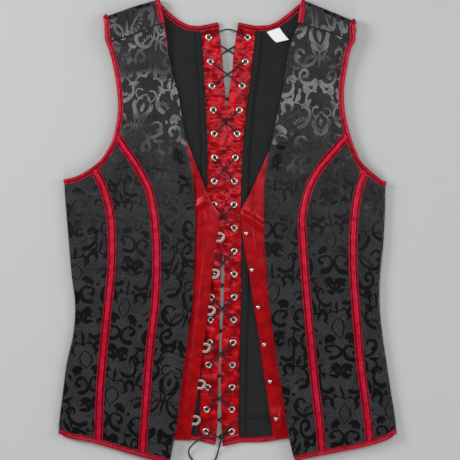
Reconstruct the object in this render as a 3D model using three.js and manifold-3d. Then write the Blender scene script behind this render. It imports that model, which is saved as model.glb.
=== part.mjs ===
// A boned, laced waistcoat laid open on its back, fronts up. Millimetres.
// X is across the garment, Y runs up to the neck and Z is up from the table.
// Outlines give "out", the distance from the garment's middle towards the side seam, and y.
import * as THREE from "three";
import { mergeVertices } from "three/addons/utils/BufferGeometryUtils.js";
import Module from "manifold-3d";

const wasm = await Module();
wasm.setup();

// Cloth and seams
const backCloth = 1.2;
const liningCloth = 1.0;
const frontCloth = 1.5;
const facingCloth = 1.2;
const lacingCloth = 1.2;
const seamGap = 0.3;
const sideTurnUnder = 8;
const hiddenLap = 7;

// Satin binding, folded round every raw edge
const bindingWall = 1.0;
const bindingWidth = 6;
const bindingGap = 0.45;
const bindingReach = bindingWall + bindingGap;

// Boning channels, on the seams between the panels of a front
const innerSeamTop = 136;
const outerSeamTop = 89;
const channelWidth = 12;
const channelHeight = 2.0;
const boneStripWidth = 8.5;
const boneStripCloth = 1.0;

// Busk hardware and eyelets
const buskBandRise = 0.8;
const knobRadius = 2.8;
const knobHeight = 5;
const loopHeight = 14;
const loopReach = 10;
const loopBand = 3.6;
const loopPlate = 1.3;
const eyeletInset = 9.5;
const eyeletHole = 2.6;
const eyeletFlange = 4.6;
const eyeletRise = 0.5;
const eyeletSunk = 0.5;
const eyeletCount = 18;
const eyeletSegments = 8;

// Lace
const laceRadius = 1.0;
const laceSides = 8;

// Heights of the lower faces above the table; the back stands on its bindings
const backBase = bindingReach;
const liningBase = backBase + backCloth + seamGap;
const stripBase = liningBase + liningCloth + seamGap;
const facingBase = stripBase + 0.35;
const frontBase = stripBase + 0.3;
const lacingRamp = 2.1;

// The box of the garment is centred on the origin
const centreX = -0.095;
const centreY = 1.49;

const colours = {
  brocade: 0x2b2b2d,
  lining: 0x1c1d1e,
  satin: 0xb3121f,
  steel: 0xb9b2a6,
  lace: 0x121214,
  label: 0xf1f1ef,
};
const finishes = {
  brocade: { color: colours.brocade, roughness: 0.75, metalness: 0 },
  lining: { color: colours.lining, roughness: 0.9, metalness: 0 },
  satin: { color: colours.satin, roughness: 0.4, metalness: 0 },
  steel: { color: colours.steel, roughness: 0.3, metalness: 1 },
  lace: { color: colours.lace, roughness: 0.7, metalness: 0 },
  label: { color: colours.label, roughness: 0.8, metalness: 0 },
};

// A table as objects, one for each row, keyed by the column names.
function table(columns, rows) {
  const names = columns.split(" ");
  return rows.map((row) => Object.fromEntries(names.map((name, i) => [name, row[i]])));
}

// Outlines of the half that lies to the left
const leftHalf = {
  turn: -1,
  body: table("y side outerSeam innerSeam", [
    [113, 225.4, 190.0, 134.8],
    [99, 225.4, 186.5, 126.8],
    [86, 225.4, 181.5, 120.3],
    [72, 225.4, 174.3, 114.1],
    [58, 225.1, 169.0, 108.6],
    [23, 222.6, 161.9, 101.7],
    [-18, 219.0, 159.7, 98.5],
    [-59, 215.6, 161.0, 98.3],
    [-101, 210.7, 165.2, 100.3],
    [-142, 213.5, 169.3, 105.2],
    [-183, 222.5, 173.3, 109.2],
    [-225, 228.0, 176.2, 112.1],
    [-266, 232.8, 177.6, 115.1],
    [-283, 232.0, 178.0, 116.3],
    [-320, 229.0, 179.0, 118.5],
  ]),
  frontEdge: table("y out", [
    [287, 88.2],
    [258, 84.0],
    [224, 77.4],
    [190, 68.3],
    [160, 63.2],
    [128, 58.1],
    [101, 53.1],
    [77, 48.6],
    [58, 46.5],
    [23, 44.6],
    [-18, 45.4],
    [-59, 46.8],
    [-101, 48.9],
    [-142, 54.4],
    [-183, 60.5],
    [-225, 65.8],
    [-266, 70.0],
    [-295, 75.5],
    [-320, 80.3],
  ]),
  lacing: table("y outer inner", [
    [290, 37.1, 13.0],
    [251, 34.6, 8.5],
    [221, 32.4, 6.0],
    [182, 30.2, 2.9],
    [161, 29.1, 1.9],
    [113, 27.7, 1.3],
    [58, 28.4, 3.4],
    [19, 29.1, 5.2],
    [-25, 30.1, 6.5],
    [-59, 31.3, 9.3],
    [-94, 32.4, 10.5],
    [-149, 34.6, 11.5],
    [-199, 36.8, 12.8],
    [-237, 38.4, 13.2],
    [-273, 39.6, 14.9],
    [-294, 40.2, 17.2],
  ]),
  armhole: table("out y", [
    [171.8, 295.6],
    [172.6, 282.9],
    [170.0, 267.7],
    [163.8, 251.2],
    [156.9, 223.6],
    [152.8, 196.0],
    [151.4, 175.3],
    [152.8, 154.6],
    [159.0, 127.0],
    [165.9, 113.2],
    [175.5, 99.4],
    [192.8, 85.6],
    [209.3, 76.6],
    [225.4, 72.4],
  ]),
  fold: table("out y", [
    [171.7, 295.9],
    [151.4, 303.2],
    [123.8, 312.8],
    [94.5, 321.0],
  ]),
  shoulderSeam: table("out y", [
    [159.0, 263.6],
    [132.2, 270.9],
    [114.7, 277.9],
    [97.0, 285.4],
    [87.9, 287.6],
  ]),
  backNeck: table("out y", [
    [93.0, 316.5],
    [85.1, 308.5],
    [74.1, 298.1],
    [64.4, 291.2],
    [52.0, 285.9],
    [37.6, 285.0],
  ]),
  frontHem: table("out y", [
    [80.3, -319.7],
    [114.1, -311.6],
    [151.4, -300.8],
    [188.6, -289.8],
    [217.6, -284.7],
    [226.0, -281.5],
    [231.0, -279.0],
  ]),
  backHem: table("out y", [
    [17.2, -294.2],
    [40.2, -288.6],
    [52.0, -287.3],
    [107.2, -287.7],
    [176.2, -286.3],
    [205.0, -282.4],
    [223.0, -279.1],
  ]),
  facingInner: table("y out", [
    [128, 57.2],
    [111, 50.6],
    [83, 39.7],
    [55, 28.8],
    [40, 21.7],
    [23, 11.4],
    [-18, 15.5],
    [-59, 21.0],
    [-101, 25.8],
    [-142, 30.9],
    [-179, 36.0],
    [-225, 42.1],
    [-266, 48.3],
    [-287, 51.6],
  ]),
  facingLift: 4.7,
  facingLiftFrom: 22,
  facingLiftOver: 23,
  tailHump: 0,
  swellPhase: 0.4,
};

// Outlines of the half that lies to the right
const rightHalf = {
  turn: 1,
  body: table("y side outerSeam innerSeam", [
    [113, 217.6, 196.0, 143.9],
    [99, 217.6, 192.0, 132.9],
    [86, 217.6, 188.0, 123.9],
    [72, 217.6, 184.6, 117.0],
    [58, 217.6, 180.2, 111.5],
    [23, 216.9, 175.0, 103.2],
    [-18, 214.7, 172.9, 103.9],
    [-59, 210.6, 173.6, 106.7],
    [-101, 209.8, 176.4, 110.1],
    [-142, 213.6, 179.8, 113.6],
    [-183, 219.8, 183.3, 117.7],
    [-225, 226.0, 188.8, 121.9],
    [-266, 232.0, 193.6, 126.7],
    [-283, 232.0, 195.4, 128.3],
    [-320, 229.0, 198.5, 131.5],
  ]),
  frontEdge: table("y out", [
    [287, 98.0],
    [262, 87.2],
    [231, 81.1],
    [195, 76.0],
    [160, 67.9],
    [126, 61.8],
    [106, 56.2],
    [79, 52.0],
    [58, 50.5],
    [23, 50.1],
    [-18, 51.2],
    [-59, 54.2],
    [-101, 57.7],
    [-142, 62.9],
    [-183, 68.4],
    [-225, 76.3],
    [-266, 81.8],
    [-295, 87.0],
    [-316, 92.6],
  ]),
  lacing: table("y outer inner", [
    [290, 38.6, 15.0],
    [251, 35.6, 8.6],
    [221, 32.2, 6.2],
    [182, 26.8, 0.8],
    [161, 25.1, -1.2],
    [113, 20.8, -0.7],
    [58, 18.4, -2.9],
    [19, 18.5, -4.7],
    [-25, 18.6, -5.9],
    [-59, 18.6, -4.6],
    [-94, 18.6, -5.5],
    [-149, 17.0, -8.0],
    [-199, 15.9, -9.7],
    [-237, 15.3, -9.0],
    [-273, 15.2, -8.1],
    [-294, 15.2, -6.9],
  ]),
  armhole: table("out y", [
    [177.7, 287.7],
    [179.8, 280.1],
    [176.8, 266.3],
    [169.7, 251.2],
    [164.1, 223.6],
    [160.5, 196.0],
    [160.8, 175.3],
    [163.7, 154.6],
    [171.1, 127.0],
    [176.6, 113.2],
    [182.6, 99.4],
    [195.7, 85.6],
    [207.4, 75.8],
    [217.6, 68.2],
  ]),
  fold: table("out y", [
    [177.1, 289.1],
    [160.5, 296.7],
    [134.3, 307.6],
    [102.8, 320.6],
  ]),
  shoulderSeam: table("out y", [
    [168.8, 263.5],
    [154.0, 269.9],
    [136.3, 276.0],
    [123.2, 280.3],
    [97.7, 287.7],
  ]),
  backNeck: table("out y", [
    [101.2, 316.3],
    [94.3, 311.5],
    [84.6, 303.0],
    [70.8, 292.6],
    [58.4, 286.6],
    [39.0, 285.0],
  ]),
  frontHem: table("out y", [
    [92.6, -316.0],
    [124.6, -309.1],
    [161.9, -301.9],
    [193.6, -295.3],
    [219.8, -287.0],
    [226.5, -283.0],
    [231.0, -279.0],
  ]),
  backHem: table("out y", [
    [-6.9, -296.4],
    [15.2, -291.4],
    [48.7, -290.4],
    [83.2, -285.6],
    [113.6, -284.4],
    [182.6, -284.3],
    [205.0, -282.2],
    [223.0, -279.1],
  ]),
  facingInner: table("y out", [
    [110, 56.0],
    [86, 45.3],
    [57, 32.4],
    [31, 19.0],
    [23, 17.0],
    [-18, 22.5],
    [-59, 29.8],
    [-101, 36.0],
    [-142, 42.8],
    [-183, 48.0],
    [-225, 54.6],
    [-266, 60.4],
    [-284, 63.4],
  ]),
  facingLift: 1.5,
  facingLiftFrom: 22,
  facingLiftOver: 12,
  tailHump: 3.0,
  swellPhase: 2.1,
};

// Loops stand on the left facing's edge and knobs on the right facing
const buskLoops = table("y", [[-6.9], [-57.3], [-108.3], [-159.4], [-209.8], [-259.4]]);
const buskKnobs = table("x y", [
  [25.4, -1.8],
  [33.1, -52.0],
  [42.0, -103.6],
  [50.0, -154.7],
  [58.2, -205.9],
  [66.1, -257.1],
]);

const mix = (a, b, t) => a + (b - a) * t;
const clamp = (t) => Math.min(1, Math.max(0, t));
function smooth(from, to, value) {
  const t = clamp((value - from) / (to - from));
  return t * t * (3 - 2 * t);
}

// A smooth function through the rows of a table, straight on past its ends.
function track(rows, key, value) {
  const sorted = [...rows].sort((a, b) => a[key] - b[key]);
  const slopes = sorted.map((row, i) => {
    const a = sorted[Math.max(0, i - 1)];
    const b = sorted[Math.min(sorted.length - 1, i + 1)];
    return (b[value] - a[value]) / (b[key] - a[key]);
  });
  return (at) => {
    const last = sorted.length - 1;
    if (at <= sorted[0][key]) return sorted[0][value] + (at - sorted[0][key]) * slopes[0];
    if (at >= sorted[last][key]) return sorted[last][value] + (at - sorted[last][key]) * slopes[last];
    const i = sorted.findIndex((row) => row[key] > at) - 1;
    const span = sorted[i + 1][key] - sorted[i][key];
    const t = (at - sorted[i][key]) / span;
    const rise = t * t * (3 - 2 * t);
    return (
      mix(sorted[i][value], sorted[i + 1][value], rise) +
      span * t * (1 - t) * ((1 - t) * slopes[i] - t * slopes[i + 1])
    );
  };
}

// A plan curve through the rows of a table, shifted sideways by inset.
function planCurve(rows, inset = 0) {
  const curve = new THREE.CatmullRomCurve3(
    rows.map((row) => new THREE.Vector3(row.out, row.y, 0)),
    false,
    "centripetal",
  );
  return (t) => {
    const p = curve.getPointAt(clamp(t));
    const d = curve.getTangentAt(clamp(t));
    return new THREE.Vector3(p.x - d.y * inset, p.y + d.x * inset, 0);
  };
}

// Where along a plan curve it passes height y, for a curve that only falls or only rises.
function whereAtY(curve, y) {
  const falls = curve(0).y > curve(1).y;
  let low = 0;
  let high = 1;
  for (let i = 0; i < 40; i++) {
    const middle = (low + high) / 2;
    if (curve(middle).y > y === falls) low = middle;
    else high = middle;
  }
  return (low + high) / 2;
}

// Points evenly along a stretch of a curve.
const spread = (curve, from, to, count) =>
  Array.from({ length: count + 1 }, (_, i) => curve(mix(from, to, i / count)));

// Distance in plan from a place to a line of points.
function distanceTo(points, out, y) {
  let best = Infinity;
  for (let i = 1; i < points.length; i++) {
    const a = points[i - 1];
    const b = points[i];
    const length2 = (b.x - a.x) ** 2 + (b.y - a.y) ** 2;
    const t = clamp(((out - a.x) * (b.x - a.x) + (y - a.y) * (b.y - a.y)) / length2);
    best = Math.min(best, Math.hypot(out - mix(a.x, b.x, t), y - mix(a.y, b.y, t)));
  }
  return best;
}

// A patch between four plan edges: rows[j][i], j from bottom to top and i from left to right.
function patch(left, right, bottom, top) {
  const nv = left.length - 1;
  const nu = bottom.length - 1;
  return left.map((l, j) => {
    const v = j / nv;
    return bottom.map((b, i) => {
      const u = i / nu;
      const r = right[j];
      const t = top[i];
      const corner = (k) =>
        mix(mix(left[0][k], right[0][k], u), mix(left[nv][k], right[nv][k], u), v);
      const at = (k) => mix(l[k], r[k], u) + mix(b[k], t[k], v) - corner(k);
      return new THREE.Vector3(at("x"), at("y"), 0);
    });
  });
}

// A closed solid between two grids of points of the same size.
function wallBetween(under, over) {
  const rows = under.length;
  const columns = under[0].length;
  const positions = [...under, ...over].flat().flatMap((p) => [p.x, p.y, p.z]);
  const at = (layer, j, i) => layer * rows * columns + j * columns + i;
  const index = [];
  const quad = (a, b, c, d) => index.push(a, b, c, a, c, d);
  for (let j = 0; j + 1 < rows; j++) {
    for (let i = 0; i + 1 < columns; i++) {
      quad(at(1, j, i), at(1, j, i + 1), at(1, j + 1, i + 1), at(1, j + 1, i));
      quad(at(0, j, i), at(0, j + 1, i), at(0, j + 1, i + 1), at(0, j, i + 1));
    }
    quad(at(0, j, 0), at(1, j, 0), at(1, j + 1, 0), at(0, j + 1, 0));
    const e = columns - 1;
    quad(at(0, j, e), at(0, j + 1, e), at(1, j + 1, e), at(1, j, e));
  }
  for (let i = 0; i + 1 < columns; i++) {
    quad(at(0, 0, i), at(0, 0, i + 1), at(1, 0, i + 1), at(1, 0, i));
    const e = rows - 1;
    quad(at(0, e, i), at(1, e, i), at(1, e, i + 1), at(0, e, i + 1));
  }
  const geometry = new THREE.BufferGeometry();
  geometry.setAttribute("position", new THREE.Float32BufferAttribute(positions, 3));
  geometry.setIndex(index);
  return geometry;
}

// A cloth wall either side of a grid of middle points; normals point to the upper face.
function clothWall(middle, thickness, extra = () => 0) {
  const shift = (side) =>
    middle.map((row, j) =>
      row.map((p, i) => {
        const reach = (side * thickness) / 2 + (side > 0 ? extra(j, i) : 0);
        return p.clone().addScaledVector(p.normal, reach);
      }),
    );
  return wallBetween(shift(-1), shift(1));
}

const upward = new THREE.Vector3(0, 0, 1);

// Sets a plan grid on a height function, which gives the cloth's lower face.
function raise(rows, under, thickness) {
  for (const p of rows.flat()) {
    p.z = under(p.x, p.y) + thickness / 2;
    p.normal = upward;
  }
  return rows;
}

// Sweeps a section, given anticlockwise as inward and upward sizes, along points with normals.
function sweep(path, section) {
  const rings = path.map((p, k) => {
    const before = path[Math.max(0, k - 1)];
    const after = path[Math.min(path.length - 1, k + 1)];
    const along = new THREE.Vector3().subVectors(after, before).normalize();
    const inward = new THREE.Vector3().crossVectors(p.normal, along).normalize();
    const normal = new THREE.Vector3().crossVectors(along, inward);
    return section.map(([a, b]) => p.clone().addScaledVector(inward, a).addScaledVector(normal, b));
  });
  const count = rings[0].length;
  const positions = rings.flat().flatMap((p) => [p.x, p.y, p.z]);
  const index = [];
  for (let k = 0; k + 1 < rings.length; k++) {
    for (let i = 0; i < count; i++) {
      const n = (i + 1) % count;
      const a = k * count;
      const b = a + count;
      index.push(a + i, a + n, b + n, a + i, b + n, b + i);
    }
  }
  const outline = section.map(([a, b]) => new THREE.Vector2(a, b));
  const last = (rings.length - 1) * count;
  for (const [i, j, k] of THREE.ShapeUtils.triangulateShape(outline, [])) {
    index.push(i, k, j, last + i, last + j, last + k);
  }
  const geometry = new THREE.BufferGeometry();
  geometry.setAttribute("position", new THREE.Float32BufferAttribute(positions, 3));
  geometry.setIndex(index);
  return geometry;
}

// The binding's section: a satin strip folded round an edge of cloth of this thickness.
function bindingSection(thickness) {
  const inner = thickness / 2 + bindingGap;
  const outer = inner + bindingWall;
  return [
    [bindingWidth, inner],
    [-bindingGap, inner],
    [-bindingGap, -inner],
    [bindingWidth, -inner],
    [bindingWidth, -outer],
    [-bindingReach, -outer],
    [-bindingReach, outer],
    [bindingWidth, outer],
  ].reverse();
}

const garment = new THREE.Group();
garment.name = "waistcoat";
garment.position.set(-centreX, -centreY, 0);

// Turns a geometry inside out.
function flip(geometry) {
  const index = geometry.index.array;
  for (let i = 0; i < index.length; i += 3) {
    [index[i + 1], index[i + 2]] = [index[i + 2], index[i + 1]];
  }
}

// Adds a named mesh, from points in "out" of one half or, with turn 1, in plain X.
function add(name, geometry, finish, turn = 1) {
  if (turn < 0) {
    geometry.scale(-1, 1, 1);
    flip(geometry);
  }
  const mesh = new THREE.Mesh(geometry, new THREE.MeshStandardMaterial(finishes[finish]));
  mesh.name = name;
  garment.add(mesh);
  return mesh;
}

// Solids for joining and cutting, and back.
function toManifold(geometry) {
  const plain = new THREE.BufferGeometry();
  plain.setAttribute("position", geometry.getAttribute("position"));
  plain.setIndex(geometry.index);
  const merged = mergeVertices(plain, 1e-4);
  return new wasm.Manifold(
    new wasm.Mesh({
      numProp: 3,
      vertProperties: new Float32Array(merged.attributes.position.array),
      triVerts: new Uint32Array(merged.index.array),
    }),
  );
}

function fromManifold(solid) {
  const mesh = solid.getMesh();
  const geometry = new THREE.BufferGeometry();
  geometry.setAttribute("position", new THREE.BufferAttribute(new Float32Array(mesh.vertProperties), 3));
  geometry.setIndex(new THREE.BufferAttribute(new Uint32Array(mesh.triVerts), 1));
  return geometry;
}

// A tube along points given one by one, so that bends can have more of them.
class Route extends THREE.Curve {
  constructor(points) {
    super();
    this.spline = new THREE.CatmullRomCurve3(points, false, "centripetal");
  }
  getPoint(t) {
    return this.spline.getPoint(t);
  }
  getPointAt(t) {
    return this.spline.getPoint(t);
  }
  getTangentAt(t) {
    return this.spline.getTangent(t);
  }
}

function tube(points, radius, sides, stepsEach = 1) {
  const ring = new THREE.Shape();
  for (let i = 0; i < sides; i++) {
    const angle = ((i + 0.5) / sides) * 2 * Math.PI;
    const corner = [radius * Math.cos(angle), radius * Math.sin(angle)];
    if (i) ring.lineTo(...corner);
    else ring.moveTo(...corner);
  }
  const steps = (points.length - 1) * stepsEach;
  return new THREE.ExtrudeGeometry(ring, {
    steps,
    extrudePath: new Route(points),
    bevelEnabled: false,
    curveSegments: 1,
  });
}

// Everything about one half's form that several pieces share.
function shapeOf(half) {
  const side = track(half.body, "y", "side");
  const outerSeam = track(half.body, "y", "outerSeam");
  const innerSeam = track(half.body, "y", "innerSeam");
  const frontEdge = track(half.frontEdge, "y", "out");
  const lacingOuter = track(half.lacing, "y", "outer");
  const lacingInner = track(half.lacing, "y", "inner");
  const facingInner = track(half.facingInner, "y", "out");
  const armhole = planCurve(half.armhole, -bindingReach);
  const fold = planCurve(half.fold);
  const shoulderSeam = planCurve(half.shoulderSeam);
  const backNeck = planCurve(half.backNeck, bindingReach);
  const frontHem = planCurve(half.frontHem, bindingReach);
  const backHem = planCurve(half.backHem, bindingReach);
  const sideLine = half.body.filter((row) => row.y <= 72 && row.y >= -283);
  const boundAbove = [
    spread(armhole, 0, 1, 24),
    spread(frontHem, 0, 1, 10),
    spread(backHem, 0, 1, 10),
    sideLine.map((row) => new THREE.Vector3(row.side, row.y, 0)),
  ];
  const nearest = (edges, out, y) => Math.min(...edges.map((edge) => distanceTo(edge, out, y)));

  // The fronts lie over the lining, higher where an edge below is bound and at the shoulder.
  const frontUnder = (out, y) => {
    const wave = Math.sin(out / 31 + y / 75 + half.swellPhase) + Math.sin(y / 52 - out / 44);
    const fromEdge = nearest(boundAbove, out, y);
    const swell = 0.3 * (2 + wave * smooth(-10, 45, fromEdge));
    const overEdges = 2.2 * (1 - smooth(6, 75, fromEdge));
    const atShoulder = 4.2 * smooth(200, 285, y);
    const overFacing = 2.8 * (1 - smooth(0, 26, out - frontEdge(y))) * (1 - smooth(118, 150, y));
    return frontBase + swell + overEdges + atShoulder + overFacing;
  };
  const facingUnder = (out, y) => {
    const near = (half.facingLiftFrom - (out - lacingOuter(y))) / half.facingLiftOver;
    const hump = half.tailHump * Math.exp(-(((y + 257) / 16) ** 2)) * (1 - smooth(66, 76, out));
    return facingBase + half.facingLift * smooth(0, 1, near) + hump;
  };
  const [hemInner, hemOuter] = half.backHem;
  const hemSlope = (hemOuter.y - hemInner.y) / (hemOuter.out - hemInner.out);
  const lacingBottom = (out) => hemInner.y + (out - hemInner.out) * hemSlope + bindingReach;
  const neckCorner = backNeck(1);
  const lacingTop = (out) => neckCorner.y + (neckCorner.x - out) * 0.2;
  const lacingUnder = (out, y) => {
    const inFromEnd = smooth(7.4, 13.5, Math.min(lacingTop(out) - y, y - lacingBottom(out)));
    const inFromOuter = clamp((lacingOuter(y) - out) / 22);
    const ramp = lacingRamp * Math.sin((inFromOuter * Math.PI) / 2);
    return mix(backBase, liningBase, inFromEnd) + ramp * mix(0.3, 1, inFromEnd);
  };
  const lines = { side, outerSeam, innerSeam, frontEdge, lacingOuter, lacingInner, facingInner };
  const curves = { armhole, fold, shoulderSeam, backNeck, frontHem, backHem };
  const heights = { frontUnder, facingUnder, lacingUnder };
  return { ...lines, ...curves, ...heights, lacingTop, lacingBottom };
}

// Row stations as shares of a seam's length, closer together where it bends.
const frontStations = [0, 0.025, 0.13, 0.25, 0.37, 0.48, 0.59, 0.7, 0.81, 0.91, 0.97, 1];
const sideRowCount = frontStations.length - 1;
const armholeRowCount = 7;
const neckRowCount = 5;
const halfGap = seamGap / 2;

// A plan point shifted out and up.
function moved(p, out, y = 0) {
  return new THREE.Vector3(p.x + out, p.y + y, 0);
}

// Height of a hem curve at a distance out.
function hemY(curve, out) {
  let low = 0;
  let high = 1;
  for (let i = 0; i < 30; i++) {
    const middle = (low + high) / 2;
    if (curve(middle).x < out) low = middle;
    else high = middle;
  }
  return curve((low + high) / 2).y;
}

// Where a seam meets the front hem.
function hemPoint(form, seam) {
  let y = -300;
  for (let i = 0; i < 20; i++) y = hemY(form.frontHem, seam(y));
  return new THREE.Vector3(seam(y), y, 0);
}

// Points up a seam from the hem, which run over to the seam's end on the armhole.
function seamRows(seam, bottom, top, stations) {
  return stations.map((s) => {
    const y = mix(bottom.y, top.y, s);
    const over = smooth(0.82, 1, s) * (top.x - seam(top.y));
    return new THREE.Vector3(seam(y) + over, y, 0);
  });
}

// Points along the front hem from one panel corner to the next.
function hemBetween(form, a, b, count) {
  return Array.from({ length: count + 1 }, (_, i) => {
    const out = mix(a.x, b.x, i / count);
    return new THREE.Vector3(out, hemY(form.frontHem, out), 0);
  });
}

// The three panels of one front, from the front edge round the side fold to the side seam.
function buildFront(half, label) {
  const form = shapeOf(half);
  const atInner = whereAtY(form.armhole, innerSeamTop);
  const atOuter = whereAtY(form.armhole, outerSeamTop);
  const innerTop = form.armhole(atInner);
  const outerTop = form.armhole(atOuter);
  const sideTop = form.armhole(0.985);
  const innerBottom = hemPoint(form, form.innerSeam);
  const outerBottom = hemPoint(form, form.outerSeam);
  const inner = seamRows(form.innerSeam, innerBottom, innerTop, frontStations);
  const outer = seamRows(form.outerSeam, outerBottom, outerTop, frontStations);

  // Centre panel
  const atSeam = whereAtY(form.armhole, form.shoulderSeam(0).y + 0.5);
  const armRows = spread(form.armhole, atInner, atSeam, armholeRowCount).slice(1);
  const centreOuter = [...inner.map((p) => moved(p, -halfGap)), ...armRows];
  const bottomEdge = form.frontHem(0);
  const topEdge = form.shoulderSeam(1);
  const lowest = centreOuter[0].y;
  const highest = centreOuter[centreOuter.length - 1].y;
  const centreInner = centreOuter.map((p) => {
    const y = mix(bottomEdge.y, topEdge.y - 0.6, (p.y - lowest) / (highest - lowest));
    return new THREE.Vector3(form.frontEdge(y), y, 0);
  });
  const centreColumns = 6;
  const centreTop = spread(form.shoulderSeam, 1, 0, centreColumns).map((p) => moved(p, 0, -0.6));
  centreTop[0].copy(centreInner[centreInner.length - 1]);
  centreTop[centreColumns].copy(centreOuter[centreOuter.length - 1]);
  const centreBottom = hemBetween(form, centreInner[0], centreOuter[0], centreColumns);
  centreBottom[0].copy(centreInner[0]);
  centreOuter[0].copy(centreBottom[centreColumns]);
  const centre = raise(patch(centreInner, centreOuter, centreBottom, centreTop), form.frontUnder, frontCloth);
  add("front_" + label + "_centre", clothWall(centre, frontCloth), "brocade", half.turn);

  // Middle panel, between the two boning channels
  const middleColumns = 3;
  const middleInner = inner.map((p) => moved(p, halfGap));
  const middleOuter = outer.map((p) => moved(p, -halfGap));
  const middleTop = spread(form.armhole, atInner, atOuter, middleColumns);
  const middleBottom = hemBetween(form, middleInner[0], middleOuter[0], middleColumns);
  middleTop[0].copy(middleInner[middleInner.length - 1]);
  middleTop[middleColumns].copy(middleOuter[middleOuter.length - 1]);
  middleInner[0].copy(middleBottom[0]);
  middleOuter[0].copy(middleBottom[middleColumns]);
  const middle = raise(patch(middleInner, middleOuter, middleBottom, middleTop), form.frontUnder, frontCloth);
  add("front_" + label + "_middle", clothWall(middle, frontCloth), "brocade", half.turn);

  // Side panel, which turns under at the side fold
  const sideColumns = 3;
  const sideInner = outer.map((p) => moved(p, halfGap));
  const sideBottomY = form.frontHem(1).y;
  const rolls = frontStations.map((s) => {
    const y = mix(sideBottomY, sideTop.y, s);
    const extreme = form.side(y) - frontCloth / 2;
    const low = backBase + frontCloth / 2;
    const high = form.frontUnder(form.side(y) - 4, y) + frontCloth / 2;
    const radius = (high - low) / 2;
    return { y, low, high, radius, centre: extreme - radius };
  });
  const sideOuter = rolls.map((roll) => new THREE.Vector3(roll.centre, roll.y, 0));
  const sideTopEdge = spread(form.armhole, atOuter, 0.97, sideColumns);
  const sideBottomEdge = hemBetween(form, sideInner[0], sideOuter[0], sideColumns);
  sideTopEdge[0].copy(sideInner[sideInner.length - 1]);
  sideTopEdge[sideColumns].copy(sideOuter[sideOuter.length - 1]);
  sideInner[0].copy(sideBottomEdge[0]);
  sideBottomEdge[sideColumns].copy(sideOuter[0]);
  const sidePanel = raise(patch(sideInner, sideOuter, sideBottomEdge, sideTopEdge), form.frontUnder, frontCloth);
  const rollSteps = 5;
  sidePanel.forEach((row, j) => {
    const roll = rolls[j];
    row[row.length - 1].z = roll.high;
    for (let k = 1; k <= rollSteps; k++) {
      const angle = (k / rollSteps) * Math.PI;
      const normal = new THREE.Vector3(Math.sin(angle), 0, Math.cos(angle));
      const p = new THREE.Vector3(roll.centre, roll.y, roll.low + roll.radius);
      p.addScaledVector(normal, roll.radius);
      p.normal = normal;
      row.push(p);
    }
    const end = new THREE.Vector3(form.side(roll.y) - sideTurnUnder, roll.y, roll.low);
    end.normal = new THREE.Vector3(0, 0, -1);
    row.push(end);
  });
  add("front_" + label + "_side", clothWall(sidePanel, frontCloth), "brocade", half.turn);

  // Boning channels over the two seams
  const across = channelWidth / 2;
  const channelSection = [
    [across, 0],
    [across, channelHeight * 0.45],
    [across * 0.6, channelHeight],
    [-across * 0.6, channelHeight],
    [-across, channelHeight * 0.45],
    [-across, 0],
  ];
  const channel = (name, seam) => {
    const low = seam[0].y + bindingWidth + 1.5;
    const high = seam[seam.length - 1].y - bindingWidth - 5;
    const route = seam
      .filter((p) => p.y > low + 8 && p.y < high - 6)
      .map((p) => p.clone());
    const ends = [low, high].map((y) => {
      const i = Math.max(1, seam.findIndex((p) => p.y > y));
      const t = (y - seam[i - 1].y) / (seam[i].y - seam[i - 1].y);
      return seam[i - 1].clone().lerp(seam[i], t);
    });
    const path = [ends[0], ...route, ends[1]];
    for (const p of path) {
      const highest = Math.max(
        form.frontUnder(p.x, p.y),
        form.frontUnder(p.x - channelWidth / 2, p.y),
        form.frontUnder(p.x + channelWidth / 2, p.y),
      );
      p.z = highest + frontCloth + seamGap + 0.15;
      p.normal = upward;
    }
    add(name, sweep(path, channelSection), "satin", half.turn);
  };
  channel("channel_" + label + "_inner", inner);
  channel("channel_" + label + "_outer", outer);
  return { form, centre, middle, sidePanel, rolls, atSeam };
}

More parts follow.
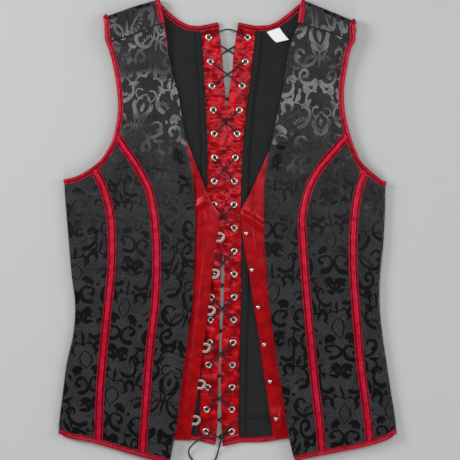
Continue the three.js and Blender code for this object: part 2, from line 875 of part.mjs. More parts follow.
// The back of one half: flat on the table, over the shoulder fold and down to the shoulder seam.
function buildBack(half, label, front) {
  const form = front.form;
  const columns = 4;
  const foldLine = spread(form.fold, 0, 1, columns).reverse();
  const a = form.fold(0);
  const b = form.fold(1);
  const outward = new THREE.Vector3(a.y - b.y, b.x - a.x, 0).normalize();
  if (outward.y < 0) outward.negate();
  const seamLine = spread(form.shoulderSeam, 1, 0, columns).map((p) => moved(p, 0, 0.6));
  seamLine[columns].copy(form.armhole(front.atSeam - 0.006));
  const arcs = foldLine.map((p) => {
    const inside = p.clone().addScaledVector(outward, -6);
    const low = backBase + backCloth / 2;
    const high = form.frontUnder(inside.x, inside.y) + frontCloth / 2;
    const radius = (high - low) / 2;
    const centre = p.clone().addScaledVector(outward, -radius - backCloth / 2);
    return { centre, low, high, radius };
  });
  arcs[columns].centre.x -= bindingReach;
  arcs[0].centre.x += bindingReach * 0.6;

  // Flat rows, from the hem to the shoulder
  const inset = 2;
  const backArmhole = planCurve(half.armhole, -bindingReach - inset);
  const armStart = whereAtY(backArmhole, arcs[columns].centre.y - 2);
  const seamOut = (y) => form.side(y) - sideTurnUnder - seamGap;
  let armSideStart = 1;
  while (backArmhole(armSideStart).x > seamOut(backArmhole(armSideStart).y)) armSideStart -= 0.002;
  const sideRows = front.rolls.slice(0, -1).map((roll) => new THREE.Vector3(seamOut(roll.y), roll.y, 0));
  const outerEdge = [...sideRows, ...spread(backArmhole, armSideStart, armStart, 8)];
  outerEdge[outerEdge.length - 1].set(arcs[columns].centre.x, arcs[columns].centre.y, 0);
  const rows = outerEdge.length;
  const neck = spread(form.backNeck, 1, 0, neckRowCount);
  neck[neckRowCount].set(arcs[0].centre.x, arcs[0].centre.y, 0);
  const panelTopY = neck[0].y;
  const panelBottomY = hemY(form.backHem, form.lacingOuter(-288));
  const plainRows = rows - neckRowCount - 1;
  const innerEdge = Array.from({ length: plainRows }, (_, j) => {
    const s = j / plainRows;
    const y = mix(panelBottomY, panelTopY, s);
    return new THREE.Vector3(form.lacingOuter(y) + halfGap, y, 0);
  });
  innerEdge.push(...neck);
  const bottom = Array.from({ length: columns + 1 }, (_, i) => {
    const out = mix(innerEdge[0].x, outerEdge[0].x, i / columns);
    return new THREE.Vector3(out, hemY(form.backHem, out), 0);
  });
  innerEdge[0].copy(bottom[0]);
  outerEdge[0].copy(bottom[columns]);
  const top = arcs.map((arc) => new THREE.Vector3(arc.centre.x, arc.centre.y, 0));
  innerEdge[innerEdge.length - 1].copy(top[0]);
  const grid = raise(patch(innerEdge, outerEdge, bottom, top), () => backBase, backCloth);
  const flatRows = grid.length;

  // Rows round the fold, then down the front to the shoulder seam. Normals turn with the cloth.
  const foldSteps = 5;
  for (let k = 1; k <= foldSteps; k++) {
    const angle = (k / foldSteps) * Math.PI;
    grid.push(
      arcs.map((arc) => {
        const normal = outward.clone().multiplyScalar(-Math.sin(angle));
        normal.z = Math.cos(angle);
        const p = new THREE.Vector3(arc.centre.x, arc.centre.y, arc.low + arc.radius);
        p.addScaledVector(normal, -arc.radius);
        p.normal = normal;
        return p;
      }),
    );
  }
  const down = new THREE.Vector3(0, 0, -1);
  for (let k = 1; k <= 2; k++) {
    grid.push(
      arcs.map((arc, i) => {
        const p = new THREE.Vector3(arc.centre.x, arc.centre.y, 0).lerp(seamLine[i], k / 2);
        p.z = form.frontUnder(p.x, p.y) + frontCloth / 2;
        p.normal = down;
        return p;
      }),
    );
  }
  add("back_" + label, clothWall(grid, backCloth), "brocade", half.turn);

  // Lining inside the back, flat, and clear of the bindings all round
  const clear = bindingReach + bindingWidth + 2.4;
  const linedNeck = spread(planCurve(half.backNeck, clear), 1, 0.12, neckRowCount);
  const innerArmhole = planCurve(half.armhole, -clear - inset);
  const linedArmhole = spread(innerArmhole, armSideStart - 0.02, armStart + 0.1, 8);
  const linedHem = (out) => hemY(form.backHem, out) + clear - bindingReach;
  const liningSide = sideRows.map((p) => moved(p, -3));
  const liningOuter = [...liningSide, ...linedArmhole];
  const stripTop = linedNeck[0].y;
  const liningInner = innerEdge.map((p, j) => {
    if (j >= plainRows) return linedNeck[j - plainRows].clone();
    const y = mix(linedHem(40), stripTop, j / plainRows);
    return new THREE.Vector3(form.lacingOuter(y) + seamGap + 0.2, y, 0);
  });
  const across = 2;
  const liningBottom = Array.from({ length: across + 1 }, (_, i) => {
    const out = mix(liningInner[0].x, liningOuter[0].x, i / across);
    return new THREE.Vector3(out, linedHem(out), 0);
  });
  liningInner[0].copy(liningBottom[0]);
  liningOuter[0].copy(liningBottom[across]);
  const liningTop = Array.from({ length: across + 1 }, (_, i) =>
    liningInner[rows - 1].clone().lerp(liningOuter[rows - 1], i / across),
  );
  const liningPlan = patch(liningInner, liningOuter, liningBottom, liningTop);
  const lining = raise(liningPlan, () => liningBase, liningCloth);
  add("back_lining_" + label, clothWall(lining, liningCloth), "lining", half.turn);

  // Stitched bone strip beside the lacing panel
  const stripBottom = linedHem(44) + 0.5;
  const stripRows = 14;
  const strip = Array.from({ length: stripRows + 1 }, (_, j) => {
    const y = mix(stripBottom, stripTop - 1, j / stripRows);
    return [0, 1].map((i) => {
      const p = new THREE.Vector3(form.lacingOuter(y) + 0.5 + i * boneStripWidth, y, 0);
      p.z = stripBase + boneStripCloth / 2;
      p.normal = upward;
      return p;
    });
  });
  add("bone_strip_" + label, clothWall(strip, boneStripCloth), "lining", half.turn);
  return { grid, flatRows };
}

// The red satin panel with its column of eyelets beside the laced gap.
function buildLacing(half, label, form) {
  const columns = 4;
  const stations = [0, 0.013, 0.025, 0.14, 0.26, 0.38, 0.5, 0.62, 0.74, 0.86, 0.975, 0.987, 1];
  const grid = stations.map((s) => {
    return Array.from({ length: columns + 1 }, (_, i) => {
      const u = i / columns;
      const across = (y) => mix(form.lacingInner(y), form.lacingOuter(y) - halfGap, u);
      const y = mix(form.lacingBottom(across(-292)), form.lacingTop(across(288)), s);
      return new THREE.Vector3(across(y), y, 0);
    });
  });
  const panel = raise(grid, form.lacingUnder, lacingCloth);
  const geometry = clothWall(panel, lacingCloth);
  if (half.turn < 0) {
    geometry.scale(-1, 1, 1);
    flip(geometry);
  }
  let solid = toManifold(geometry);
  const eyelets = eyeletPlaces(half, form);
  const place = (shape, eyelet, lift) => {
    shape.rotateX(Math.PI / 2);
    shape.applyQuaternion(new THREE.Quaternion().setFromUnitVectors(upward, eyelet.normal));
    shape.translate(eyelet.x, eyelet.y, eyelet.z);
    shape.translate(eyelet.normal.x * lift, eyelet.normal.y * lift, eyelet.normal.z * lift);
    return toManifold(shape);
  };
  for (const eyelet of eyelets) {
    const height = eyeletRise + eyeletSunk;
    const flange = new THREE.CylinderGeometry(eyeletFlange - 1.2, eyeletFlange, height, eyeletSegments);
    solid = solid.add(place(flange, eyelet, (eyeletRise - eyeletSunk) / 2));
  }
  for (const eyelet of eyelets) {
    const hole = new THREE.CylinderGeometry(eyeletHole, eyeletHole, 8, eyeletSegments);
    solid = solid.subtract(place(hole, eyelet, 0));
  }
  add("lacing_panel_" + label, fromManifold(solid), "satin");
  return { panel, eyelets };
}

// Eyelet centres on the upper face of the panel, in plain X.
function eyeletPlaces(half, form) {
  return Array.from({ length: eyeletCount }, (_, i) => {
    const y = 268.8 - 33.7 * i + 0.1 * i * i;
    const out = form.lacingOuter(y) - eyeletInset;
    const z = form.lacingUnder(out, y) + lacingCloth;
    const slope = (form.lacingUnder(out + 1, y) - form.lacingUnder(out - 1, y)) / 2;
    const normal = new THREE.Vector3(-slope * half.turn, 0, 1).normalize();
    const p = new THREE.Vector3(out * half.turn, y, z);
    p.normal = normal;
    return p;
  });
}

// Red satin facing with the busk under the front edge.
function buildFacing(half, label, form) {
  const top = half.facingInner[0].y;
  const bottom = half.facingInner[half.facingInner.length - 1].y;
  const yRows = [0, 0.035, 0.07, 0.105, 0.2, 0.3, 0.4, 0.5, 0.59, 0.67, 0.72, 0.755, 0.8, 0.87, 0.94, 1];
  const shares = [0, 0.09, 0.5, 0.58, 1];
  const rows = yRows.map((s) => {
    const y = mix(bottom, top, s);
    const inner = form.facingInner(y);
    const outer = form.frontEdge(y) + hiddenLap;
    return shares.map((u) => new THREE.Vector3(mix(inner, outer, u), y + (s === 1 ? u * 4 : 0), 0));
  });
  const grid = raise(rows, form.facingUnder, facingCloth);
  const bandRise = (j, i) => (i === 1 || i === 2 ? buskBandRise * (1 - smooth(15, 60, grid[j][i].y)) : 0);
  add("busk_facing_" + label, clothWall(grid, facingCloth, bandRise), "satin", half.turn);
}

// A point of a binding's path: a middle point of cloth with the outward normal of its upper face.
function bindingPoint(p, turned, lift = 0) {
  const q = p.clone();
  q.z += lift;
  q.normal = turned ? p.normal.clone().negate() : p.normal.clone();
  return q;
}

// Drops points that lie too close to the one before.
function thinned(path, least = 0.8) {
  return path.filter((p, i) => i === 0 || i === path.length - 1 || p.distanceTo(path[i - 1]) > least);
}

// The three bindings of a half: round the armhole, along the hem and round the neck.
function buildBindings(half, label, front, back, lacing) {
  const section = bindingSection(frontCloth);
  const settle = (frontCloth - backCloth) / 2;
  const { centre, middle, sidePanel } = front;
  const { grid, flatRows } = back;
  const last = grid[0].length - 1;
  const column = (i) => grid.map((row) => row[i]);
  const plain = (points) => points.map((p) => bindingPoint(p, false));
  const turned = (points) => points.map((p) => bindingPoint(p, true, settle));
  const shifted = (p, towards, by) => {
    const q = p.clone().addScaledVector(new THREE.Vector3().subVectors(towards, p).normalize(), by);
    q.normal = p.normal;
    return q;
  };
  const trimmed = (points, by) => {
    const ends = points.length - 1;
    const first = shifted(points[0], points[1], by);
    return [first, ...points.slice(1, ends), shifted(points[ends], points[ends - 1], by)];
  };

  // Armhole: from the side seam up the front edge, over the shoulder and down the back edge
  const sideTop = [...sidePanel[sidePanel.length - 1]].reverse();
  const middleTop = [...middle[middle.length - 1]].reverse();
  const centreEdge = centre.slice(frontStations.length - 1).map((row) => row[row.length - 1]);
  const backEdge = column(last);
  const overFold = backEdge.slice(flatRows - 1).reverse();
  const downBack = backEdge.slice(sideRowCount, flatRows - 1).reverse();
  const onFront = [...plain(sideTop), ...plain(middleTop), ...plain(centreEdge)];
  const onBack = [...turned(overFold), ...turned(downBack)];
  const armholePath = trimmed(thinned([...onFront, ...onBack]), 0.2);
  add("armhole_binding_" + label, sweep(armholePath, section), "satin", half.turn);

  // Hem: from the front point round the side fold and along the back to the laced edge
  const panelBottom = [...lacing.panel[0]].reverse();
  const frontBottom = [...plain(centre[0]), ...plain(middle[0]), ...plain(sidePanel[0])];
  const backBottom = [...turned([...grid[0]].reverse()), ...turned(panelBottom)];
  add("hem_binding_" + label, sweep(thinned([...frontBottom, ...backBottom]), section), "satin", half.turn);

  // Neck: from the laced edge along the back neck, over the shoulder and down to the seam
  const neckEdge = column(0).slice(flatRows - neckRowCount - 1);
  const neckPath = thinned([...turned(lacing.panel[lacing.panel.length - 1]), ...turned(neckEdge)]);
  add("neck_binding_" + label, sweep(neckPath, section), "satin", half.turn);
}

const halves = { left: leftHalf, right: rightHalf };
const built = {};
for (const [label, half] of Object.entries(halves)) {
  const front = buildFront(half, label);
  const back = buildBack(half, label, front);
  const lacing = buildLacing(half, label, front.form);
  buildFacing(half, label, front.form);
  buildBindings(half, label, front, back, lacing);
  built[label] = { front, back, lacing, form: front.form };
}
const left = built.left;
const right = built.right;

// Busk loops: flat steel bands that stand out from the left facing's edge
buskLoops.forEach(({ y }, i) => {
  const legs = (loopHeight - loopBand) / 2;
  const reach = loopReach - loopBand / 2 - legs;
  const edge = (at) => -left.form.facingInner(at) + 0.5;
  const z = left.form.facingUnder(left.form.facingInner(y), y) + facingCloth / 2;
  const path = [
    [edge(y - legs), y - legs],
    [edge(y) + reach, y - legs],
  ];
  const bendSteps = 6;
  for (let k = 1; k < bendSteps; k++) {
    const angle = (k / bendSteps - 0.5) * Math.PI;
    path.push([edge(y) + reach + legs * Math.cos(angle), y + legs * Math.sin(angle)]);
  }
  path.push([edge(y) + reach, y + legs], [edge(y + legs), y + legs]);
  const points = path.map(([px, py]) => {
    const p = new THREE.Vector3(px, py, z);
    p.normal = upward;
    return p;
  });
  const band = loopBand / 2;
  const plate = loopPlate / 2;
  const section = [
    [-band, -plate],
    [band, -plate],
    [band, plate],
    [-band, plate],
  ];
  add("busk_loop_" + (i + 1), sweep(points, section), "steel");
});

// Busk knobs: turned steel studs on the right facing
const knobProfile = table("radius height", [
  [0, 0],
  [2.1, 0],
  [2.1, 0.5],
  [1.2, 0.9],
  [1.2, 2.1],
  [2.5, 2.6],
  [knobRadius, 3.6],
  [1.9, 4.7],
  [0, knobHeight],
]).map(({ radius, height }) => new THREE.Vector2(radius, height));
buskKnobs.forEach(({ x, y }, i) => {
  const z = right.form.facingUnder(x, y) + facingCloth + buskBandRise + seamGap;
  const knob = new THREE.LatheGeometry(knobProfile, 8);
  knob.rotateX(Math.PI / 2);
  knob.translate(x, y, z);
  add("busk_knob_" + (i + 1), knob, "steel");
});

// The lace: down both columns, under and over by turns, from the bow at the top to the knot
const laceGap = 0.35;
const restOn = laceRadius + laceGap;
const innerEdgeTop = liningBase + lacingRamp + lacingCloth;
const heights = { underLow: laceRadius + 0.05, underHigh: 3.4, overLow: innerEdgeTop + restOn };
heights.overHigh = heights.overLow + 2 * laceRadius + 0.3;
const knot = new THREE.Vector3(-8.5, -282.5, innerEdgeTop + 2.6);
const eyelets = { left: left.lacing.eyelets, right: right.lacing.eyelets };

// The lower face of whichever lacing panel lies at x.
function panelUnder(x, y) {
  const half = x < 0 && -x > left.form.lacingInner(y) ? left : right;
  const out = half === left ? -x : x;
  return half.form.lacingUnder(out, y);
}

// One strand's points, from eyelet to eyelet, starting in the column called first.
function strand(first, other, isHigh) {
  const points = [];
  const eyelet = (k) => eyelets[k % 2 ? other : first][k];
  const aboveTop = new THREE.Vector3(-2, 283, 0);
  for (let i = 0; i < eyeletCount; i++) {
    const here = eyelet(i);
    const previous = i ? here.clone().lerp(eyelet(i - 1), 0.5) : aboveTop;
    const next = i < eyeletCount - 1 ? here.clone().lerp(eyelet(i + 1), 0.5) : knot;
    const arrivesUnder = i % 2 === 1;
    const towards = (target, reach, above) => {
      const way = new THREE.Vector3(target.x - here.x, target.y - here.y, 0).normalize();
      const p = here.clone().addScaledVector(way, reach);
      const under = panelUnder(p.x, p.y);
      p.z = above ? under + lacingCloth + eyeletRise + restOn + 0.1 : under - restOn;
      return p;
    };
    const inHole = (z) => new THREE.Vector3(here.x + Math.sign(-4 - here.x) * 0.7, here.y, z);
    const high = inHole(here.z + 1.0);
    const low = inHole(here.z - lacingCloth - 0.2);
    const before = towards(previous, 3.8, !arrivesUnder);
    const after = towards(next, 3.8, arrivesUnder);
    points.push(before, ...(arrivesUnder ? [low, high] : [high, low]), after);
    if (i < eyeletCount - 1) {
      const under = isHigh ? heights.underLow : heights.underHigh;
      const over = isHigh ? heights.overHigh : heights.overLow;
      points.push(new THREE.Vector3(next.x, next.y, i % 2 ? over : under));
    }
  }
  return points;
}
const highStrand = strand("right", "left", true);
const lowStrand = strand("left", "right", false);
const lacePoints = [
  new THREE.Vector3(knot.x - 4.6, knot.y - 0.6, knot.z),
  ...highStrand.reverse(),
  new THREE.Vector3(0.5, 279.5, heights.overLow + 0.3),
  ...lowStrand,
  new THREE.Vector3(knot.x + 4.6, knot.y + 1.5, knot.z),
];
add("lace", tube(lacePoints, laceRadius, laceSides), "lace");

const knotLump = new THREE.SphereGeometry(1, 8, 6);
knotLump.scale(3.9, 3.2, 2.3);
knotLump.translate(knot.x, knot.y, knot.z);
add("lace_knot", knotLump, "lace");

// The two free ends beyond the knot
const floorRun = laceRadius + 0.1;
const longTail = table("x y z", [
  [-9.4, -286.2, knot.z - 0.2],
  [-10.4, -291, knot.z - 0.9],
  [-11.6, -297, 5.2],
  [-13.2, -303, 2.0],
  [-15.0, -309, floorRun],
  [-18.0, -316.5, floorRun],
  [-25.0, -323, floorRun],
  [-34.5, -325, floorRun],
  [-43.5, -321.5, floorRun],
  [-49.6, -314.5, floorRun],
  [-53.5, -307.5, 1.8],
  [-53.6, -301, 4.4],
  [-50.0, -295, 6.6],
  [-45.5, -290.5, 7.2],
  [-40.0, -286.8, 7.2],
  [-34.0, -283.6, 8.2],
  [-28.5, -280.4, 9.7],
  [-24.0, -276.8, 9.9],
  [-20.4, -273.0, 8.6],
  [-17.8, -269.6, innerEdgeTop + restOn],
]);
const shortTail = table("x y z", [
  [-6.6, -278.9, knot.z],
  [-4.4, -274.8, innerEdgeTop + restOn],
  [-0.6, -270.2, innerEdgeTop + restOn],
  [4.6, -266.1, innerEdgeTop + restOn],
  [10.4, -262.2, innerEdgeTop + restOn - 0.2],
  [17.0, -258.9, stripBase + boneStripCloth + restOn + 0.3],
  [24.2, -256.6, stripBase + boneStripCloth + restOn],
  [32.2, -255.3, stripBase + restOn],
  [42.0, -255.5, stripBase + restOn - 0.2],
  [51.5, -256.7, stripBase + restOn - 0.2],
  [60.0, -258.3, stripBase + restOn - 0.2],
  [66.5, -259.2, stripBase + restOn - 0.2],
]);
const asPoints = (rows) => rows.map(({ x, y, z }) => new THREE.Vector3(x, y, z));
add("lace_tail_long", tube(asPoints(longTail), laceRadius, laceSides, 2), "lace");
add("lace_tail_short", tube(asPoints(shortTail), laceRadius, laceSides, 2), "lace");

// Care label, sewn in at the back neck
const labelCloth = 1.0;
const labelCorners = table("x y lift", [
  [54.0, 276.2, 0],
  [71.6, 282.2, 0],
  [84.6, 265.4, 1.6],
  [67.2, 261.4, 2.2],
]);
const labelSteps = 3;
const labelGrid = Array.from({ length: labelSteps + 1 }, (_, j) =>
  Array.from({ length: 3 }, (_, i) => {
    const [a, b, c, d] = labelCorners;
    const u = i / 2;
    const v = 1 - j / labelSteps;
    const at = (key) => mix(mix(a[key], b[key], u), mix(d[key], c[key], u), v);
    const bow = 2.0 * v * (1 - v);
    const p = new THREE.Vector3(at("x") - bow, at("y") - bow, stripBase + labelCloth / 2 + at("lift"));
    p.normal = upward;
    return p;
  }),
);
add("care_label", clothWall(labelGrid, labelCloth), "label");

export default garment;
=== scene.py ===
import math
import bpy
import numpy as np
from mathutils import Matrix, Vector


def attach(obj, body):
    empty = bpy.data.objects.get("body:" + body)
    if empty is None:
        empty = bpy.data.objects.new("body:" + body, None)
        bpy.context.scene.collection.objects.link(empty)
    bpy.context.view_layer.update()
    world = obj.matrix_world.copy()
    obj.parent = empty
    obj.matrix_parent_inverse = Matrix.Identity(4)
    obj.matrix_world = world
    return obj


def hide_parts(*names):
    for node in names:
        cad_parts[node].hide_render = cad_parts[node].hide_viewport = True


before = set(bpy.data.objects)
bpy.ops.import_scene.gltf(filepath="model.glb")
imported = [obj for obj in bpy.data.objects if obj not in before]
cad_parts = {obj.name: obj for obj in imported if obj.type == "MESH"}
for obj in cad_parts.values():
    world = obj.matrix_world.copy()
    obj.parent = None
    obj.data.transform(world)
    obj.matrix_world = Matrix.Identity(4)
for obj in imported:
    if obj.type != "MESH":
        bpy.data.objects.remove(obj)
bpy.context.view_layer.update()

# Outlines are in millimetres, as "out" from the garment's middle and y up to the neck.
centreX, centreY = -0.095, 1.49  # the outlines' own place of the garment's middle
mm = 0.001
perMetre = 1000
up = (0.0, 0.0, 1.0)


def columns(names, *rows):
    return {name: np.array([row[i] for row in rows], float) for i, name in enumerate(names.split())}


def lengths(points):  # how far along a line each of its points lies
    return np.concatenate([[0], np.cumsum(np.linalg.norm(np.diff(points, axis=0), axis=1))])


def addObject(name, data):
    made = bpy.data.objects.new(name, data)
    bpy.context.scene.collection.objects.link(made)
    return made


# Camera straight above and soft light
cameraSet = {  # in millimetres, but for sight, which is in metres
    "x": 3.27, "y": 1.27, "height": 2206.0, "aimHeight": 6.0, "field": 634.8, "sensor": 36, "sight": 20,
}
camera = addObject("camera", bpy.data.cameras.new("camera"))
bpy.context.scene.camera = camera
camera.location = (cameraSet["x"] * mm, cameraSet["y"] * mm, cameraSet["height"] * mm)
camera.data.sensor_width = cameraSet["sensor"]
camera.data.lens = cameraSet["sensor"] * (cameraSet["height"] - cameraSet["aimHeight"]) / cameraSet["field"]
camera.data.clip_end = cameraSet["sight"]

lightSet = {  # place, aim, size in metres, then watts
    "neckSide": ((0.0, 0.33, 1.7), (0, 0.2, 0), (1.3, 0.06), 6.0),
    "farNeckSide": ((0.0, 0.50, 1.7), (0, 0.3, 0), (1.3, 0.07), 2.6),
    "leftSide": ((-1.9, 0.75, 1.2), (0, 0, 0), (0.9, 0.9), 35),
    "rightSide": ((2.1, 0.3, 1.2), (0, 0, 0), (1.2, 1.6), 23),
    "hemSide": ((0.3, -2.1, 1.2), (0, 0, 0), (1.6, 1.2), 17),
}
for lampName, (place, aim, size, watts) in lightSet.items():
    lamp = bpy.data.lights.new(lampName, "AREA")
    lamp.shape = "RECTANGLE"
    lamp.size, lamp.size_y = size
    lamp.energy = watts
    lampObject = addObject(lampName, lamp)
    lampObject.location = place
    lampObject.rotation_euler = (Vector(aim) - Vector(place)).to_track_quat("-Z", "Y").to_euler()

worldSet = {"Color": (0.9, 0.92, 0.91, 1), "Strength": 0.16}
world = bpy.data.worlds.new("studio")
bpy.context.scene.world = world
world.use_nodes = True
for key, value in worldSet.items():
    world.node_tree.nodes["Background"].inputs[key].default_value = value
bpy.context.scene.view_settings.view_transform = "Standard"
print("camera and light set")


# Node helpers
def put(tree, kind, settings=None, inputs=None):
    node = tree.nodes.new("ShaderNode" + kind)
    for key, value in (settings or {}).items():
        setattr(node, key, value)
    for key, value in (inputs or {}).items():
        socket = node.inputs[key]
        if isinstance(value, bpy.types.NodeSocket):
            tree.links.new(value, socket)
        else:
            socket.default_value = value
    return node


def calc(tree, operation, *values):
    return put(tree, "Math", {"operation": operation}, dict(enumerate(values))).outputs[0]


def vectorCalc(tree, operation, *values):
    return put(tree, "VectorMath", {"operation": operation}, dict(enumerate(values))).outputs[0]


def parted(tree, vector):
    return put(tree, "SeparateXYZ", None, {"Vector": vector}).outputs


def ramped(tree, value, low, high, toLow=0.0, toHigh=1.0, kind="SMOOTHSTEP"):
    inputs = {"Value": value, "From Min": low, "From Max": high, "To Min": toLow, "To Max": toHigh}
    return put(tree, "MapRange", {"interpolation_type": kind}, inputs).outputs[0]


def blended(tree, share, a, b):
    return put(tree, "Mix", {"data_type": "RGBA"}, {0: share, 6: a, 7: b}).outputs[2]


def noisy(tree, vector, scale, detail=2.0, rough=0.5):
    inputs = {"Vector": vector, "Scale": scale, "Detail": detail, "Roughness": rough}
    return put(tree, "TexNoise", None, inputs).outputs["Fac"]


def newGroup(name, inputs, outputs):
    group = bpy.data.node_groups.new(name, "ShaderNodeTree")
    for socketName, default in inputs:
        kind = "NodeSocketVector" if default is None else "NodeSocketFloat"
        socket = group.interface.new_socket(socketName, in_out="INPUT", socket_type=kind)
        if default is not None:
            socket.default_value = default
    for socketName in outputs:
        group.interface.new_socket(socketName, in_out="OUTPUT", socket_type="NodeSocketFloat")
    start = group.nodes.new("NodeGroupInput").outputs
    end = group.nodes.new("NodeGroupOutput").inputs
    return group, start, end


def placed(tree, group, inputs):
    return put(tree, "Group", {"node_tree": group}, inputs).outputs


def newMaterial(name, **constants):
    material = bpy.data.materials.new(name)
    material.use_nodes = True
    tree = material.node_tree
    shader = tree.nodes["Principled BSDF"]
    for key, value in constants.items():
        shader.inputs[key.replace("_", " ")].default_value = value
    return material, tree, shader


def feed(tree, shader, **sockets):
    for key, value in sockets.items():
        tree.links.new(value, shader.inputs[key.replace("_", " ")])


def roughen(tree, shader, height, strength, distance):
    bump = put(tree, "Bump", None, {"Height": height, "Strength": strength, "Distance": distance})
    feed(tree, shader, Normal=bump.outputs[0])


def clothPlace(tree):  # place on the cloth in millimetres, along and across its cut
    uv = put(tree, "UVMap", {"uv_map": "cloth"}).outputs[0]
    return vectorCalc(tree, "MULTIPLY", uv, (perMetre,) * 3)


def solidPlace(tree):  # place in the scene in millimetres
    return vectorCalc(tree, "MULTIPLY", put(tree, "TexCoord").outputs["Object"], (perMetre,) * 3)


# The brocade's figures: each group gives the distance to one figure, less than zero inside
def figurePlace(group, start):
    x = calc(group, "SUBTRACT", start["X"], start["Centre X"])
    y = calc(group, "SUBTRACT", start["Y"], start["Centre Y"])
    half = calc(group, "MULTIPLY", start["Repeat"], 0.5)
    y = calc(group, "WRAP", y, half, calc(group, "MULTIPLY", half, -1.0))
    joined = put(group, "CombineXYZ", None, {"X": x, "Y": y}).outputs[0]
    turn = calc(group, "MULTIPLY", calc(group, "RADIANS", start["Angle"]), -1.0)
    turned = put(group, "VectorRotate", {"rotation_type": "Z_AXIS"}, {"Vector": joined, "Angle": turn})
    parts = parted(group, turned.outputs[0])
    return parts["X"], parts["Y"]


def startFigure(name, inputs):  # a group, its own calc, its sockets and the place along its figure
    group, start, end = newGroup(name, placeInputs + inputs, ["Distance"])
    x, y = figurePlace(group, start)
    return group, lambda *values: calc(group, *values), start, end, x, y


def lengthOf(reckon, x, y):
    return reckon("SQRT", reckon("ADD", reckon("MULTIPLY", x, x), reckon("MULTIPLY", y, y)))


def within(reckon, value, low, high):
    return reckon("MINIMUM", reckon("MAXIMUM", value, low), high)


placeInputs = [
    ("X", 0.0), ("Y", 0.0), ("Repeat", 112.0), ("Centre X", 0.0), ("Centre Y", 0.0), ("Angle", 0.0),
]
leafSlope = 0.85  # turns a height over a leaf's edge into about a distance

scrollStroke, reckon, start, end, qx, qy = startFigure(
    "scrollStroke", [("Radius", 10.0), ("Half Span", 90.0), ("Width Start", 1.0), ("Width End", 2.0)]
)
bend = reckon("ARCTAN2", qy, qx)
span = reckon("RADIANS", start["Half Span"])
share = within(reckon, reckon("DIVIDE", bend, span), -1.0, 1.0)
near = reckon("MULTIPLY", share, span)
nearX = reckon("MULTIPLY", reckon("COSINE", near), start["Radius"])
nearY = reckon("MULTIPLY", reckon("SINE", near), start["Radius"])
away = lengthOf(reckon, reckon("SUBTRACT", qx, nearX), reckon("SUBTRACT", qy, nearY))
width = ramped(scrollStroke, share, -1.0, 1.0, start["Width Start"], start["Width End"], "LINEAR")
scrollStroke.links.new(reckon("SUBTRACT", away, width), end["Distance"])

leafShape, reckon, start, end, qx, qy = startFigure(
    "leafShape", [("Half Length", 8.0), ("Half Width", 3.0), ("Bend", 0.0)]
)
share = reckon("DIVIDE", qx, start["Half Length"])
share = reckon("MULTIPLY", share, share)
side = reckon("ABSOLUTE", reckon("SUBTRACT", qy, reckon("MULTIPLY", share, start["Bend"])))
width = reckon("MULTIPLY", start["Half Width"], reckon("SUBTRACT", 1.0, share))
leafShape.links.new(reckon("MULTIPLY", reckon("SUBTRACT", side, width), leafSlope), end["Distance"])

petalFan, reckon, start, end, qx, qy = startFigure(
    "petalFan", [("Step", 30.0), ("Most", 2.0), ("Reach", 8.0), ("Half Length", 5.0), ("Half Width", 2.0)]
)
bend = reckon("ARCTAN2", qy, qx)
step = reckon("RADIANS", start["Step"])
turns = reckon("ROUND", reckon("DIVIDE", bend, step))
turns = within(reckon, turns, reckon("MULTIPLY", start["Most"], -1.0), start["Most"])
bend = reckon("SUBTRACT", bend, reckon("MULTIPLY", turns, step))
reach = lengthOf(reckon, qx, qy)
px = reckon("SUBTRACT", reckon("MULTIPLY", reach, reckon("COSINE", bend)), start["Reach"])
py = reckon("ABSOLUTE", reckon("MULTIPLY", reach, reckon("SINE", bend)))
share = reckon("DIVIDE", px, start["Half Length"])
width = reckon("SUBTRACT", 1.0, reckon("MULTIPLY", share, share))
width = reckon("MULTIPLY", start["Half Width"], width)
petalFan.links.new(reckon("MULTIPLY", reckon("SUBTRACT", py, width), leafSlope), end["Distance"])

